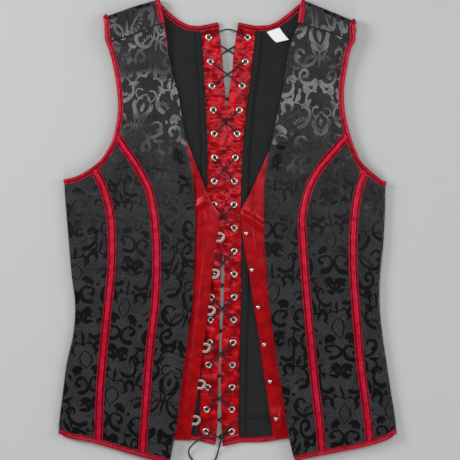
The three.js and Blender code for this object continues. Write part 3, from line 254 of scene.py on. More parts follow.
# One repeat of the brocade, mirrored at x 0 and at x halfRepeat
brocadeSet = {
    "size": 1.12,
    "weight": 1.12,
    "halfRepeat": 58.0,
    "repeat": 108.0,
    "fray": 0.7,
    "frayScale": 0.8,
    "edge": (0.72, 0.05),
    "scrolls": columns(
        "x y angle radius halfSpan widthStart widthEnd",
        (17, 8, 250, 12.5, 112, 0.8, 2.5),
        (23, 12, 55, 5.4, 120, 2.3, 1.1),
        (31, 45, 165, 14.5, 88, 0.9, 2.4),
        (39, 55, 95, 6.2, 135, 2.5, 1.0),
        (47, 10, 20, 9.5, 125, 2.9, 0.8),
        (44, 14, 150, 4.2, 110, 0.9, 2.2),
        (43, 79, 205, 11.0, 98, 0.9, 2.7),
        (35, 86, 80, 4.6, 120, 1.0, 2.2),
        (13, 90, 325, 11.0, 112, 2.7, 0.8),
        (18, 93, 120, 4.8, 135, 1.1, 2.3),
        (9, 62, 30, 9.5, 80, 0.7, 1.7),
        (52, 52, 120, 8.0, 105, 0.7, 1.2),
        (26, 94, 340, 7.5, 110, 0.7, 1.3),
        (7, 48, 350, 6.0, 120, 0.6, 1.1),
        (38, 68, 250, 5.5, 110, 1.3, 0.6),
        (34, 22, 0, 0.0, 90, 2.0, 2.0),
        (50, 62, 0, 0.0, 90, 1.8, 1.8),
        (25, 73, 0, 0.0, 90, 1.7, 1.7),
    ),
    "leaves": columns(
        "x y angle halfLength halfWidth bend",
        (0, 33, 90, 6.5, 2.4, 0),
        (6.5, 21, 52, 8.5, 2.7, 1.5),
        (10.5, 31, 72, 8.5, 2.2, 2.0),
        (0, 7, 90, 14, 1.4, 0),
        (19, 58, 140, 8, 2.7, 1.2),
        (27, 66, 108, 7.5, 2.5, -1.2),
        (58, 66, 90, 11, 1.5, 0),
        (49, 96, 60, 8, 2.3, 1.6),
        (5, 76, 120, 7.5, 2.2, 1.4),
        (31, 101, 15, 7, 2.2, 1.2),
    ),
    "outlines": columns(
        "x y angle halfLength halfWidth bend line",
        (0, 35, 90, 14, 8, 0, 0.85),
        (58, 40, 90, 11, 6.5, 0, 0.8),
    ),
    "fans": columns(
        "x y angle step most reach halfLength halfWidth",
        (43, 31, 300, 42, 1, 4.6, 6.0, 3.0),
        (58, 83, 90, 36, 2, 8.5, 6.5, 2.2),
        (24, 30, 75, 17, 2, 11, 3.0, 1.15),
        (5, 104, 60, 15, 3, 12.5, 2.8, 1.1),
        (20, 76, 200, 45, 1, 4.2, 5.0, 2.4),
        (52, 101, 255, 44, 1, 4.4, 5.6, 2.8),
        (33, 62, 330, 44, 1, 3.6, 4.6, 2.3),
    ),
}
brocadeFigure, start, end = newGroup("brocadeFigure", [("Place", None)], ["Figure"])
parts = parted(brocadeFigure, start["Place"])
folded = calc(brocadeFigure, "PINGPONG", parts["X"], brocadeSet["halfRepeat"] * brocadeSet["size"])
nearest = None
placeKeys = ("x", "y", "radius", "halfLength", "reach", "bend")
widthKeys = ("widthStart", "widthEnd", "halfWidth", "line")
sockets = {
    "x": "Centre X", "y": "Centre Y", "angle": "Angle", "radius": "Radius", "halfSpan": "Half Span",
    "widthStart": "Width Start", "widthEnd": "Width End", "halfLength": "Half Length",
    "halfWidth": "Half Width", "bend": "Bend", "step": "Step", "most": "Most", "reach": "Reach",
}
figureKinds = {"scrolls": scrollStroke, "leaves": leafShape, "outlines": leafShape, "fans": petalFan}
for kind, group in figureKinds.items():
    table = brocadeSet[kind]
    for key in table:
        table[key] = table[key] * (brocadeSet["size"] if key in placeKeys + widthKeys else 1)
        table[key] = table[key] * (brocadeSet["weight"] if key in widthKeys else 1)
    for row in range(len(table["x"])):
        values = {sockets[key]: float(table[key][row]) for key in table if key in sockets}
        values.update({"X": folded, "Y": parts["Y"], "Repeat": brocadeSet["repeat"] * brocadeSet["size"]})
        distance = placed(brocadeFigure, group, values)["Distance"]
        if kind == "outlines":
            distance = calc(brocadeFigure, "ABSOLUTE", distance)
            distance = calc(brocadeFigure, "SUBTRACT", distance, float(table["line"][row]))
        nearest = distance if nearest is None else calc(brocadeFigure, "MINIMUM", nearest, distance)
frays = noisy(brocadeFigure, start["Place"], brocadeSet["frayScale"], 2.0, 0.6)
frayed = calc(brocadeFigure, "MULTIPLY_ADD", frays, brocadeSet["fray"], nearest)
brocadeFigure.links.new(ramped(brocadeFigure, frayed, *brocadeSet["edge"]), end["Figure"])

# Threads: fine ribs both ways
threadSet = {"speckScale": 0.42, "speckRange": (0.37, 0.63)}
threads, start, end = newGroup(
    "threads", [("Place", None), ("Pitch", 0.6), ("Slant", 0.0)], ["Height", "Tone"]
)
parts = parted(threads, start["Place"])
slanted = calc(threads, "ADD", parts["X"], calc(threads, "MULTIPLY", parts["Y"], start["Slant"]))
turnsPer = calc(threads, "DIVIDE", 2 * math.pi, start["Pitch"])
warp = calc(threads, "SINE", calc(threads, "MULTIPLY", slanted, turnsPer))
weft = calc(threads, "SINE", calc(threads, "MULTIPLY", parts["Y"], turnsPer))
crossing = calc(threads, "MULTIPLY", warp, weft)
threads.links.new(calc(threads, "MULTIPLY_ADD", crossing, 0.5, 0.5), end["Height"])
speck = noisy(threads, start["Place"], threadSet["speckScale"], 3.0, 0.8)
threads.links.new(ramped(threads, speck, *threadSet["speckRange"]), end["Tone"])

# Materials; a bump is its strength and distance, and a pair runs from its first value to its second
brocadeLook = {
    "ground": (0.0042, 0.0042, 0.0052, 1), "groundLight": (0.038, 0.036, 0.041, 1),
    "figure": (0.0005, 0.0005, 0.001, 1), "showThrough": (1.0, 0.92), "roughness": (0.9, 0.19),
    "tendrils": (  # level, then colour
        (0.43, (0.003, 0.003, 0.004, 1)), (0.5, (0.05, 0.049, 0.053, 1)), (0.57, (0.003, 0.003, 0.004, 1)),
    ),
    "tendrilScale": 0.06, "tendrilWidth": 0.014, "tendrilShare": 0.75,
    "drift": 8.0, "driftScale": 0.022, "driftShifts": (0, 300), "pitch": 0.9, "slant": 0.5,
    "speckShare": 0.55, "mottleShare": 0.35, "mottleScale": 0.03, "mottleRange": (0.34, 0.66),
    "bump": (0.5, 0.00001),
}
brocade, tree, shader = newMaterial("brocade", Specular_IOR_Level=0.4)
place = clothPlace(tree)
drifts = []
for shift in brocadeLook["driftShifts"]:
    drifts.append(noisy(tree, vectorCalc(tree, "ADD", place, (shift, 0, 0)), brocadeLook["driftScale"], 1.0))
drift = put(tree, "CombineXYZ", None, {"X": drifts[0], "Y": drifts[1]}).outputs[0]
driftSize = (brocadeLook["drift"] * 2,) * 3
drifted = vectorCalc(tree, "MULTIPLY_ADD", drift, driftSize, place)  # the pattern's rows aren't quite even
figure = placed(tree, brocadeFigure, {"Place": drifted})["Figure"]
weave = placed(tree, threads, {"Place": place, "Pitch": brocadeLook["pitch"], "Slant": brocadeLook["slant"]})
mottle = ramped(tree, noisy(tree, place, brocadeLook["mottleScale"], 3.0, 0.6), *brocadeLook["mottleRange"])
mottle = calc(tree, "MULTIPLY", mottle, brocadeLook["mottleShare"])
tone = calc(tree, "MULTIPLY_ADD", weave["Tone"], brocadeLook["speckShare"], mottle)
ground = blended(tree, tone, brocadeLook["ground"], brocadeLook["groundLight"])
tendrils = noisy(tree, drifted, brocadeLook["tendrilScale"], 0.0)
for level, shade in brocadeLook["tendrils"]:
    fromLevel = calc(tree, "ABSOLUTE", calc(tree, "SUBTRACT", tendrils, level))
    share = ramped(tree, fromLevel, brocadeLook["tendrilWidth"], 0.0, 0.0, brocadeLook["tendrilShare"])
    ground = blended(tree, share, ground, shade)
shown = ramped(tree, weave["Tone"], 0.0, 1.0, *brocadeLook["showThrough"], "LINEAR")
floats = calc(tree, "MULTIPLY", figure, shown)
feed(tree, shader, Base_Color=blended(tree, floats, ground, brocadeLook["figure"]))
feed(tree, shader, Roughness=ramped(tree, figure, 0.0, 1.0, *brocadeLook["roughness"], "LINEAR"))
roughen(tree, shader, weave["Height"], *brocadeLook["bump"])

# blotch settings paint sheen and shade: lighter and darker patches of red stand in for light on the satin's
# puckers
satinLook = {
    "specular": 0.85, "tint": (1, 0.14, 0.19, 1), "threadStretch": (1, 0.3, 1), "roughness": (0.22, 0.33),
    "blotchScale": 0.075, "sheenPatchRange": (0.36, 0.66),
    # the groove colour is painted shade in the stitched grooves
    "groove": (0.05, 0.0005, 0.002, 1), "grooveShadeFloor": 0.45, "grooveShadeShare": 0.85,
    "puckerScale": 0.1, "threadHeight": 0.002, "bump": (0.6, 0.002),
}


def makeSatin(name, paintedShadeColour, paintedSheenColour, pitch, puckers=1.0, grooveShades=()):
    constants = {"Specular_IOR_Level": satinLook["specular"], "Specular_Tint": satinLook["tint"]}
    material, tree, shader = newMaterial(name, **constants)
    place = clothPlace(tree)
    stretched = vectorCalc(tree, "MULTIPLY", place, satinLook["threadStretch"])
    weave = placed(tree, threads, {"Place": stretched, "Pitch": pitch})
    # painted sheen and painted shade: noise blotches mix each satin between its darker and its lighter red,
    # in place of light on puckers
    blotch = noisy(tree, place, satinLook["blotchScale"], 2.0, 0.5)
    colour = blended(tree, ramped(tree, blotch, *satinLook["sheenPatchRange"]), paintedShadeColour, paintedSheenColour)
    around = parted(tree, place)["X"]
    # painted shade: the satin darkens towards the middle of each stitched groove
    for middle, half in grooveShades:
        fromMiddle = calc(tree, "ABSOLUTE", calc(tree, "SUBTRACT", around, middle))
        share = ramped(tree, fromMiddle, half, half * satinLook["grooveShadeFloor"], 0.0, satinLook["grooveShadeShare"])
        colour = blended(tree, share, colour, satinLook["groove"])
    feed(tree, shader, Base_Color=colour)
    feed(tree, shader, Roughness=ramped(tree, weave["Tone"], 0.0, 1.0, *satinLook["roughness"], "LINEAR"))
    pucker = noisy(tree, place, satinLook["puckerScale"], 1.0, 0.4)
    threadHeight = calc(tree, "MULTIPLY", weave["Height"], satinLook["threadHeight"])
    height = calc(tree, "MULTIPLY_ADD", pucker, puckers, threadHeight)
    roughen(tree, shader, height, *satinLook["bump"])
    return material


def aroundAt(section, x, upper=True):  # how far round a section its point at x lies
    points = np.array(section, float)
    around = lengths(points)
    fits = [k for k in range(len(points)) if (points[k, 1] > 0) == upper]
    return float(around[min(fits, key=lambda k: abs(points[k, 0] - x))])


channelSection = [
    (5.9, 0.0), (5.95, 0.5), (5.7, 0.95), (5.2, 1.0), (4.75, 0.75), (4.4, 0.3), (4.1, 0.2), (3.75, 0.35),
    (3.4, 0.95), (3.0, 1.5), (2.2, 2.0), (1.2, 2.18), (0, 2.22), (-1.2, 2.18), (-2.2, 2.0), (-3.0, 1.5),
    (-3.4, 0.95), (-3.75, 0.35), (-4.1, 0.2), (-4.4, 0.3), (-4.75, 0.75), (-5.2, 1.0), (-5.7, 0.95),
    (-5.95, 0.5), (-5.9, 0.0),
]
bindingSection = [
    (6.15, 1.15), (5.9, 1.55), (5.3, 1.66), (4.8, 1.45), (4.3, 1.32), (3.8, 1.5), (3.0, 1.9), (1.2, 2.2),
    (0.0, 2.15), (-0.9, 1.7), (-1.35, 0.9), (-1.45, 0.0), (-1.35, -0.9), (-0.9, -1.7), (0.0, -2.15),
    (1.2, -2.2), (3.0, -1.9), (3.8, -1.5), (4.3, -1.32), (4.8, -1.45), (5.3, -1.66), (5.9, -1.55),
    (6.15, -1.15), (6.0, -0.86), (-0.1, -0.86), (-0.3, 0.0), (-0.1, 0.86), (6.0, 0.86),
]
# each satin's two colours are the dark end of its painted shade and the light end of its painted sheen
satin = makeSatin("satin", (0.17, 0.0008, 0.0016, 1), (0.47, 0.003, 0.006, 1), 0.5)
facingSatin = makeSatin("facingSatin", (0.25, 0.0012, 0.002, 1), (0.37, 0.0022, 0.0036, 1), 0.5, 0.1)
# channels and bindings also get painted shade along their stitched grooves
channelSatin = makeSatin(
    "channelSatin", (0.38, 0.003, 0.018, 1), (0.56, 0.008, 0.038, 1), 0.6, 0.25,
    [(aroundAt(channelSection, 3.9), 2.2), (aroundAt(channelSection, -3.9), 2.2)],
)
bindingSatin = makeSatin(
    "bindingSatin", (0.27, 0.002, 0.010, 1), (0.43, 0.006, 0.024, 1), 0.6, 0.3,
    [(aroundAt(bindingSection, 3.8), 1.5), (aroundAt(bindingSection, 3.8, False), 1.5)],
)


def makeThread(name, dark, light):
    material, tree, shader = newMaterial(name, Roughness=0.7, Specular_IOR_Level=0.25)
    feed(tree, shader, Base_Color=blended(tree, noisy(tree, solidPlace(tree), 0.7, 2.0), dark, light))
    return material


redThread = makeThread("redThread", (0.22, 0.002, 0.008, 1), (0.45, 0.01, 0.03, 1))
blackThread = makeThread("blackThread", (0.008, 0.008, 0.009, 1), (0.04, 0.04, 0.045, 1))

twillLook = {
    "dark": (0.0035, 0.004, 0.004, 1), "light": (0.0135, 0.014, 0.0145, 1), "pitch": 1.1, "slant": 1.0,
    "speckShare": 0.4, "mottleShare": 0.6, "mottleScale": 0.03, "bump": (0.4, 0.0003),
}
twill, tree, shader = newMaterial("twill", Roughness=0.85, Specular_IOR_Level=0.3, Sheen_Weight=0.08)
place = clothPlace(tree)
weave = placed(tree, threads, {"Place": place, "Pitch": twillLook["pitch"], "Slant": twillLook["slant"]})
mottle = noisy(tree, place, twillLook["mottleScale"], 4.0, 0.6)
mottle = calc(tree, "MULTIPLY", mottle, twillLook["mottleShare"])
tone = calc(tree, "MULTIPLY_ADD", weave["Tone"], twillLook["speckShare"], mottle)
feed(tree, shader, Base_Color=blended(tree, tone, twillLook["dark"], twillLook["light"]))
roughen(tree, shader, weave["Height"], *twillLook["bump"])


def makeMetal(name, light, worn, smoothest, roughest):
    material, tree, shader = newMaterial(name, Metallic=1.0)
    wear = ramped(tree, noisy(tree, solidPlace(tree), 0.8, 4.0, 0.6), 0.35, 0.7)
    feed(tree, shader, Base_Color=blended(tree, wear, light, worn))
    feed(tree, shader, Roughness=ramped(tree, wear, 0.0, 1.0, smoothest, roughest, "LINEAR"))
    return material


steel = makeMetal("steel", (0.50, 0.45, 0.40, 1), (0.30, 0.27, 0.235, 1), 0.42, 0.6)
nickel = makeMetal("nickel", (0.74, 0.68, 0.62, 1), (0.5, 0.45, 0.4, 1), 0.3, 0.42)

laceLook = {"dark": (0.002, 0.002, 0.003, 1), "light": (0.014, 0.011, 0.014, 1), "bump": (0.6, 0.0004)}
laceBlack, tree, shader = newMaterial("laceBlack", Roughness=0.6, Specular_IOR_Level=0.35)
braid = noisy(tree, solidPlace(tree), 1.4, 3.0, 0.7)
feed(tree, shader, Base_Color=blended(tree, braid, laceLook["dark"], laceLook["light"]))
roughen(tree, shader, braid, *laceLook["bump"])

tapeLook = {"dark": (0.82, 0.83, 0.82, 1), "light": (0.9, 0.9, 0.89, 1), "pitch": 0.7, "bump": (0.3, 0.0002)}
whiteTape, tree, shader = newMaterial("whiteTape", Roughness=0.8)
weave = placed(tree, threads, {"Place": clothPlace(tree), "Pitch": tapeLook["pitch"]})
feed(tree, shader, Base_Color=blended(tree, weave["Tone"], tapeLook["dark"], tapeLook["light"]))
roughen(tree, shader, weave["Height"], *tapeLook["bump"])

floorSet = {
    "dark": (0.525, 0.54, 0.535, 1), "light": (0.54, 0.555, 0.55, 1), "blotchScale": 3.0,
    "half": 3, "height": -0.0003,  # in metres
}
paper, tree, shader = newMaterial("paper", Roughness=0.95, Specular_IOR_Level=0.1)
blotch = noisy(tree, put(tree, "TexCoord").outputs["Object"], floorSet["blotchScale"])
feed(tree, shader, Base_Color=blended(tree, blotch, floorSet["dark"], floorSet["light"]))
print("materials made")

floorMesh = bpy.data.meshes.new("floor")
signs = ((-1, -1), (1, -1), (1, 1), (-1, 1))
corners = [(x * floorSet["half"], y * floorSet["half"], floorSet["height"]) for x, y in signs]
floorMesh.from_pydata(corners, [], [(0, 1, 2, 3)])
floor = addObject("floor", floorMesh)
floor.data.materials.append(paper)
print("floor laid")


# Curves and heights that the pieces share
def smooth(low, high, value):
    t = np.clip((value - low) / (high - low), 0, 1)
    return t * t * (3 - 2 * t)


def track(table, key, value):  # a smooth function through a table, straight on past its ends
    order = np.argsort(table[key])
    x, v = table[key][order], table[value][order]
    last = len(x) - 1
    before, after = np.maximum(np.arange(last + 1) - 1, 0), np.minimum(np.arange(last + 1) + 1, last)
    slope = (v[after] - v[before]) / (x[after] - x[before])

    def at(q):
        q = np.asarray(q, float)
        i = np.clip(np.searchsorted(x, q, "right") - 1, 0, last - 1)
        length = x[i + 1] - x[i]
        t = np.clip((q - x[i]) / length, 0, 1)
        rise = t * t * (3 - 2 * t)
        bow = length * t * (1 - t) * ((1 - t) * slope[i] - t * slope[i + 1])
        inside = v[i] + (v[i + 1] - v[i]) * rise + bow
        return inside + np.minimum(q - x[0], 0) * slope[0] + np.maximum(q - x[last], 0) * slope[last]

    return at


def splinePoints(points, perSpan=24):  # centripetal curve through points
    p = np.vstack([2 * points[0] - points[1], points, 2 * points[-1] - points[-2]])
    made = []
    for i in range(1, len(p) - 2):
        t0, t1, t2 = (max(np.linalg.norm(p[i + k] - p[i + k - 1]) ** 0.5, 1e-4) for k in (0, 1, 2))
        start = ((p[i] - p[i - 1]) / t0 - (p[i + 1] - p[i - 1]) / (t0 + t1) + (p[i + 1] - p[i]) / t1) * t1
        stop = ((p[i + 1] - p[i]) / t1 - (p[i + 2] - p[i]) / (t1 + t2) + (p[i + 2] - p[i + 1]) / t2) * t1
        t = np.linspace(0, 1, perSpan, endpoint=False)[:, None]
        a, b = p[i], p[i + 1]
        square, cube = 3 * (b - a) - 2 * start - stop, 2 * (a - b) + start + stop
        made.append(a + start * t + square * t**2 + cube * t**3)
    made.append(p[-2][None])
    return np.vstack(made)


def planCurve(table, inset=0.0):
    line = splinePoints(np.stack([table["out"], table["y"]], 1))
    along = lengths(line) / lengths(line)[-1]
    ahead = np.gradient(line, axis=0)
    ahead /= np.linalg.norm(ahead, axis=1)[:, None]
    line = line + inset * np.stack([-ahead[:, 1], ahead[:, 0]], 1)
    return lambda t: np.stack([np.interp(t, along, line[:, k]) for k in (0, 1)], -1)


fineShares = np.linspace(0, 1, 3001)


def shareAtY(curve, y):  # where along a curve that only rises or falls it passes y
    heights = curve(fineShares)[:, 1]
    order = 1 if heights[-1] > heights[0] else -1
    return float(np.interp(y, heights[::order], fineShares[::order]))


def yAtOut(curve, out):
    line = curve(fineShares)
    return np.interp(out, line[:, 0], line[:, 1])


def patch(left, right, bottom, top):
    v = np.linspace(0, 1, len(left))[:, None, None]
    u = np.linspace(0, 1, len(bottom))[None, :, None]
    corner = (left[0] * (1 - u) + right[0] * u) * (1 - v) + (left[-1] * (1 - u) + right[-1] * u) * v
    return left[:, None] * (1 - u) + right[:, None] * u + bottom[None] * (1 - v) + top[None] * v - corner


def distanceTo(line, out, y):
    best = np.full(np.shape(out), np.inf)
    for a, b in zip(line[:-1], line[1:]):
        d = b - a
        t = np.clip(((out - a[0]) * d[0] + (y - a[1]) * d[1]) / (d @ d), 0, 1)
        best = np.minimum(best, np.hypot(out - a[0] - t * d[0], y - a[1] - t * d[1]))
    return best


def withHeight(plan, height):
    return np.concatenate([plan, np.broadcast_to(height, plan.shape[:-1])[..., None]], -1)


def onFront(form, plan):  # the middle of the fronts' cloth over points in plan
    return withHeight(plan, form["frontUnder"](plan[..., 0], plan[..., 1]) + cloth["front"] / 2)


# Cloth thicknesses and heights, as in the frame
cloth = {"back": 1.2, "lining": 1.0, "front": 1.5, "facing": 1.2, "lacing": 1.2, "strip": 1.0, "label": 0.9}
bindingReach, bindingWidth = 1.45, 6.0
backBase = bindingReach
liningBase = backBase + cloth["back"] + 0.3
stripBase = liningBase + cloth["lining"] + 0.3
facingBase = stripBase + 0.35
frontBase = stripBase + 0.3
lacingRamp = 2.1
sideTurnUnder = 8.0
hiddenLap = 7.0
riseSet = {
    "wave": 0.3, "overEdges": 2.2, "overFacing": 2.8, "towardsNeck": 4.2, "tailAt": -257, "tailReach": 16,
}

leftHalf = {
    "turn": -1,
    "body": columns(
        "y side outerSeam innerSeam",
        (113, 225.4, 190.0, 134.8), (99, 225.4, 186.5, 126.8), (86, 225.4, 181.5, 120.3),
        (72, 225.4, 174.3, 114.1), (58, 225.1, 169.0, 108.6), (23, 222.6, 161.9, 101.7),
        (-18, 219.0, 159.7, 98.5), (-59, 215.6, 161.0, 98.3), (-101, 210.7, 165.2, 100.3),
        (-142, 213.5, 169.3, 105.2), (-183, 222.5, 173.3, 109.2), (-225, 228.0, 176.2, 112.1),
        (-266, 232.8, 177.6, 115.1), (-283, 232.0, 178.0, 116.3), (-320, 229.0, 179.0, 118.5),
    ),
    "frontEdge": columns(
        "y out",
        (287, 88.2), (258, 84.0), (224, 77.4), (190, 68.3), (160, 63.2), (128, 58.1), (101, 53.1),
        (77, 48.6), (58, 46.5), (23, 44.6), (-18, 45.4), (-59, 46.8), (-101, 48.9), (-142, 54.4),
        (-183, 60.5), (-225, 65.8), (-266, 70.0), (-295, 75.5), (-320, 80.3),
    ),
    "lacing": columns(
        "y outer inner",
        (290, 37.1, 13.0), (251, 34.6, 8.5), (221, 32.4, 6.0), (182, 30.2, 2.9), (161, 29.1, 1.9),
        (113, 27.7, 1.3), (58, 28.4, 3.4), (19, 29.1, 5.2), (-25, 30.1, 6.5), (-59, 31.3, 9.3),
        (-94, 32.4, 10.5), (-149, 34.6, 11.5), (-199, 36.8, 12.8), (-237, 38.4, 13.2), (-273, 39.6, 14.9),
        (-294, 40.2, 17.2),
    ),
    "armhole": columns(
        "out y",
        (171.8, 295.6), (172.6, 282.9), (170.0, 267.7), (163.8, 251.2), (156.9, 223.6), (152.8, 196.0),
        (151.4, 175.3), (152.8, 154.6), (159.0, 127.0), (165.9, 113.2), (175.5, 99.4), (192.8, 85.6),
        (209.3, 76.6), (225.4, 72.4),
    ),
    "fold": columns("out y", (171.7, 295.9), (151.4, 303.2), (123.8, 312.8), (94.5, 321.0)),
    "shoulderSeam": columns(
        "out y",
        (159.0, 263.6), (132.2, 270.9), (114.7, 277.9), (97.0, 285.4), (87.9, 287.6),
    ),
    "backNeck": columns(
        "out y",
        (93.0, 316.5), (85.1, 308.5), (74.1, 298.1), (64.4, 291.2), (52.0, 285.9), (37.6, 285.0),
    ),
    "frontHem": columns(
        "out y",
        (80.3, -319.7), (114.1, -311.6), (151.4, -300.8), (188.6, -289.8), (217.6, -284.7), (226.0, -281.5),
        (231.0, -279.0),
    ),
    "backHem": columns(
        "out y",
        (17.2, -294.2), (40.2, -288.6), (52.0, -287.3), (107.2, -287.7), (176.2, -286.3), (205.0, -282.4),
        (223.0, -279.1),
    ),
    "facingInner": columns(
        "y out",
        (128, 57.2), (111, 50.6), (83, 39.7), (55, 28.8), (40, 21.7), (23, 11.4), (-18, 15.5), (-59, 21.0),
        (-101, 25.8), (-142, 30.9), (-179, 36.0), (-225, 42.1), (-266, 48.3), (-287, 51.6),
    ),
    "facingLift": 4.7, "facingLiftFrom": 22, "facingLiftOver": 23, "tailHump": 0.0, "swellPhase": 0.4,
}
rightHalf = {
    "turn": 1,
    "body": columns(
        "y side outerSeam innerSeam",
        (113, 217.6, 196.0, 143.9), (99, 217.6, 192.0, 132.9), (86, 217.6, 188.0, 123.9),
        (72, 217.6, 184.6, 117.0), (58, 217.6, 180.2, 111.5), (23, 216.9, 175.0, 103.2),
        (-18, 214.7, 172.9, 103.9), (-59, 210.6, 173.6, 106.7), (-101, 209.8, 176.4, 110.1),
        (-142, 213.6, 179.8, 113.6), (-183, 219.8, 183.3, 117.7), (-225, 226.0, 188.8, 121.9),
        (-266, 232.0, 193.6, 126.7), (-283, 232.0, 195.4, 128.3), (-320, 229.0, 198.5, 131.5),
    ),
    "frontEdge": columns(
        "y out",
        (287, 98.0), (262, 87.2), (231, 81.1), (195, 76.0), (160, 67.9), (126, 61.8), (106, 56.2),
        (79, 52.0), (58, 50.5), (23, 50.1), (-18, 51.2), (-59, 54.2), (-101, 57.7), (-142, 62.9),
        (-183, 68.4), (-225, 76.3), (-266, 81.8), (-295, 87.0), (-316, 92.6),
    ),
    "lacing": columns(
        "y outer inner",
        (290, 38.6, 15.0), (251, 35.6, 8.6), (221, 32.2, 6.2), (182, 26.8, 0.8), (161, 25.1, -1.2),
        (113, 20.8, -0.7), (58, 18.4, -2.9), (19, 18.5, -4.7), (-25, 18.6, -5.9), (-59, 18.6, -4.6),
        (-94, 18.6, -5.5), (-149, 17.0, -8.0), (-199, 15.9, -9.7), (-237, 15.3, -9.0), (-273, 15.2, -8.1),
        (-294, 15.2, -6.9),
    ),
    "armhole": columns(
        "out y",
        (177.7, 287.7), (179.8, 280.1), (176.8, 266.3), (169.7, 251.2), (164.1, 223.6), (160.5, 196.0),
        (160.8, 175.3), (163.7, 154.6), (171.1, 127.0), (176.6, 113.2), (182.6, 99.4), (195.7, 85.6),
        (207.4, 75.8), (217.6, 68.2),
    ),
    "fold": columns("out y", (177.1, 289.1), (160.5, 296.7), (134.3, 307.6), (102.8, 320.6)),
    "shoulderSeam": columns(
        "out y",
        (168.8, 263.5), (154.0, 269.9), (136.3, 276.0), (123.2, 280.3), (97.7, 287.7),
    ),
    "backNeck": columns(
        "out y",
        (101.2, 316.3), (94.3, 311.5), (84.6, 303.0), (70.8, 292.6), (58.4, 286.6), (39.0, 285.0),
    ),
    "frontHem": columns(
        "out y",
        (92.6, -316.0), (124.6, -309.1), (161.9, -301.9), (193.6, -295.3), (219.8, -287.0), (226.5, -283.0),
        (231.0, -279.0),
    ),
    "backHem": columns(
        "out y",
        (-6.9, -296.4), (15.2, -291.4), (48.7, -290.4), (83.2, -285.6), (113.6, -284.4), (182.6, -284.3),
        (205.0, -282.2), (223.0, -279.1),
    ),
    "facingInner": columns(
        "y out",
        (110, 56.0), (86, 45.3), (57, 32.4), (31, 19.0), (23, 17.0), (-18, 22.5), (-59, 29.8), (-101, 36.0),
        (-142, 42.8), (-183, 48.0), (-225, 54.6), (-266, 60.4), (-284, 63.4),
    ),
    "facingLift": 1.5, "facingLiftFrom": 22, "facingLiftOver": 12, "tailHump": 3.0, "swellPhase": 2.1,
}


def shapeOf(half):
    form = {key: track(half["body"], "y", key) for key in ("side", "outerSeam", "innerSeam")}
    form.update({
        "frontEdge": track(half["frontEdge"], "y", "out"),
        "lacingOuter": track(half["lacing"], "y", "outer"),
        "lacingInner": track(half["lacing"], "y", "inner"),
        "facingInner": track(half["facingInner"], "y", "out"),
        "armhole": planCurve(half["armhole"], -bindingReach),
        "fold": planCurve(half["fold"]),
        "shoulderSeam": planCurve(half["shoulderSeam"]),
    })
    form.update({key: planCurve(half[key], bindingReach) for key in ("backNeck", "frontHem", "backHem")})
    body = half["body"]
    lower = (body["y"] <= 72) & (body["y"] >= -283)
    boundAbove = [
        form["armhole"](np.linspace(0, 1, 25)),
        form["frontHem"](np.linspace(0, 1, 11)),
        form["backHem"](np.linspace(0, 1, 11)),
        np.stack([body["side"][lower], body["y"][lower]], 1),
    ]

    def frontUnder(out, y):
        wave = np.sin(out / 31 + y / 75 + half["swellPhase"]) + np.sin(y / 52 - out / 44)
        fromEdge = np.min([distanceTo(line, out, y) for line in boundAbove], axis=0)
        swell = riseSet["wave"] * (2 + wave * smooth(-10, 45, fromEdge))
        overEdges = riseSet["overEdges"] * (1 - smooth(6, 75, fromEdge))
        nearFacing = (1 - smooth(0, 26, out - form["frontEdge"](y))) * (1 - smooth(118, 150, y))
        towardsNeck = riseSet["towardsNeck"] * smooth(200, 285, y)
        return frontBase + swell + overEdges + towardsNeck + riseSet["overFacing"] * nearFacing

    def facingUnder(out, y):
        near = (half["facingLiftFrom"] - (out - form["lacingOuter"](y))) / half["facingLiftOver"]
        fromTail = (y - riseSet["tailAt"]) / riseSet["tailReach"]
        hump = half["tailHump"] * np.exp(-(fromTail**2)) * (1 - smooth(66, 76, out))
        return facingBase + half["facingLift"] * smooth(0, 1, near) + hump

    hem = half["backHem"]
    hemSlope = (hem["y"][1] - hem["y"][0]) / (hem["out"][1] - hem["out"][0])
    neckCorner = form["backNeck"](1.0)

    def lacingBottom(out):
        return hem["y"][0] + (out - hem["out"][0]) * hemSlope + bindingReach

    def lacingTop(out):
        return neckCorner[1] + (neckCorner[0] - out) * 0.2

    def lacingUnder(out, y):
        inFromEnd = smooth(7.4, 13.5, np.minimum(lacingTop(out) - y, y - lacingBottom(out)))
        inFromOuter = np.clip((form["lacingOuter"](y) - out) / 22, 0, 1)
        ramp = lacingRamp * np.sin(inFromOuter * math.pi / 2)
        return backBase + (liningBase - backBase) * inFromEnd + ramp * (0.3 + 0.7 * inFromEnd)

    form.update(frontUnder=frontUnder, facingUnder=facingUnder, lacingUnder=lacingUnder)
    form.update(lacingBottom=lacingBottom, lacingTop=lacingTop)
    return form


# Mesh makers
def toRow(points, turn):  # from half coordinates in mm to the row frame in metres
    return (points * (turn, 1, 1) - (centreX, centreY, 0)) * mm


def makePiece(name, points, faces, material, turn=1, cut=None, sharpFrom=45):
    points = toRow(np.asarray(points, float).reshape(-1, 3), turn)
    mesh = bpy.data.meshes.new(name)
    faces = [face[::-1] for face in faces] if turn < 0 else faces
    mesh.from_pydata(points.tolist(), [], faces)
    layer = mesh.uv_layers.new(name="cloth")
    cut = points[:, :2] * perMetre if cut is None else np.asarray(cut, float).reshape(-1, 2)
    loops = np.empty(len(mesh.loops), np.int32)
    mesh.loops.foreach_get("vertex_index", loops)
    layer.uv.foreach_set("vector", (cut[loops] * mm).astype(np.float32).ravel())
    mesh.polygons.foreach_set("use_smooth", [True] * len(mesh.polygons))
    mesh.set_sharp_from_angle(angle=math.radians(sharpFrom))
    mesh.materials.append(material)
    piece = addObject(name, mesh)
    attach(piece, "root")
    return piece


def gridNormals(grid):
    along, across = np.gradient(grid, axis=0), np.gradient(grid, axis=1)
    normal = np.cross(across, along)
    return normal / np.maximum(np.linalg.norm(normal, axis=-1), 1e-9)[..., None]


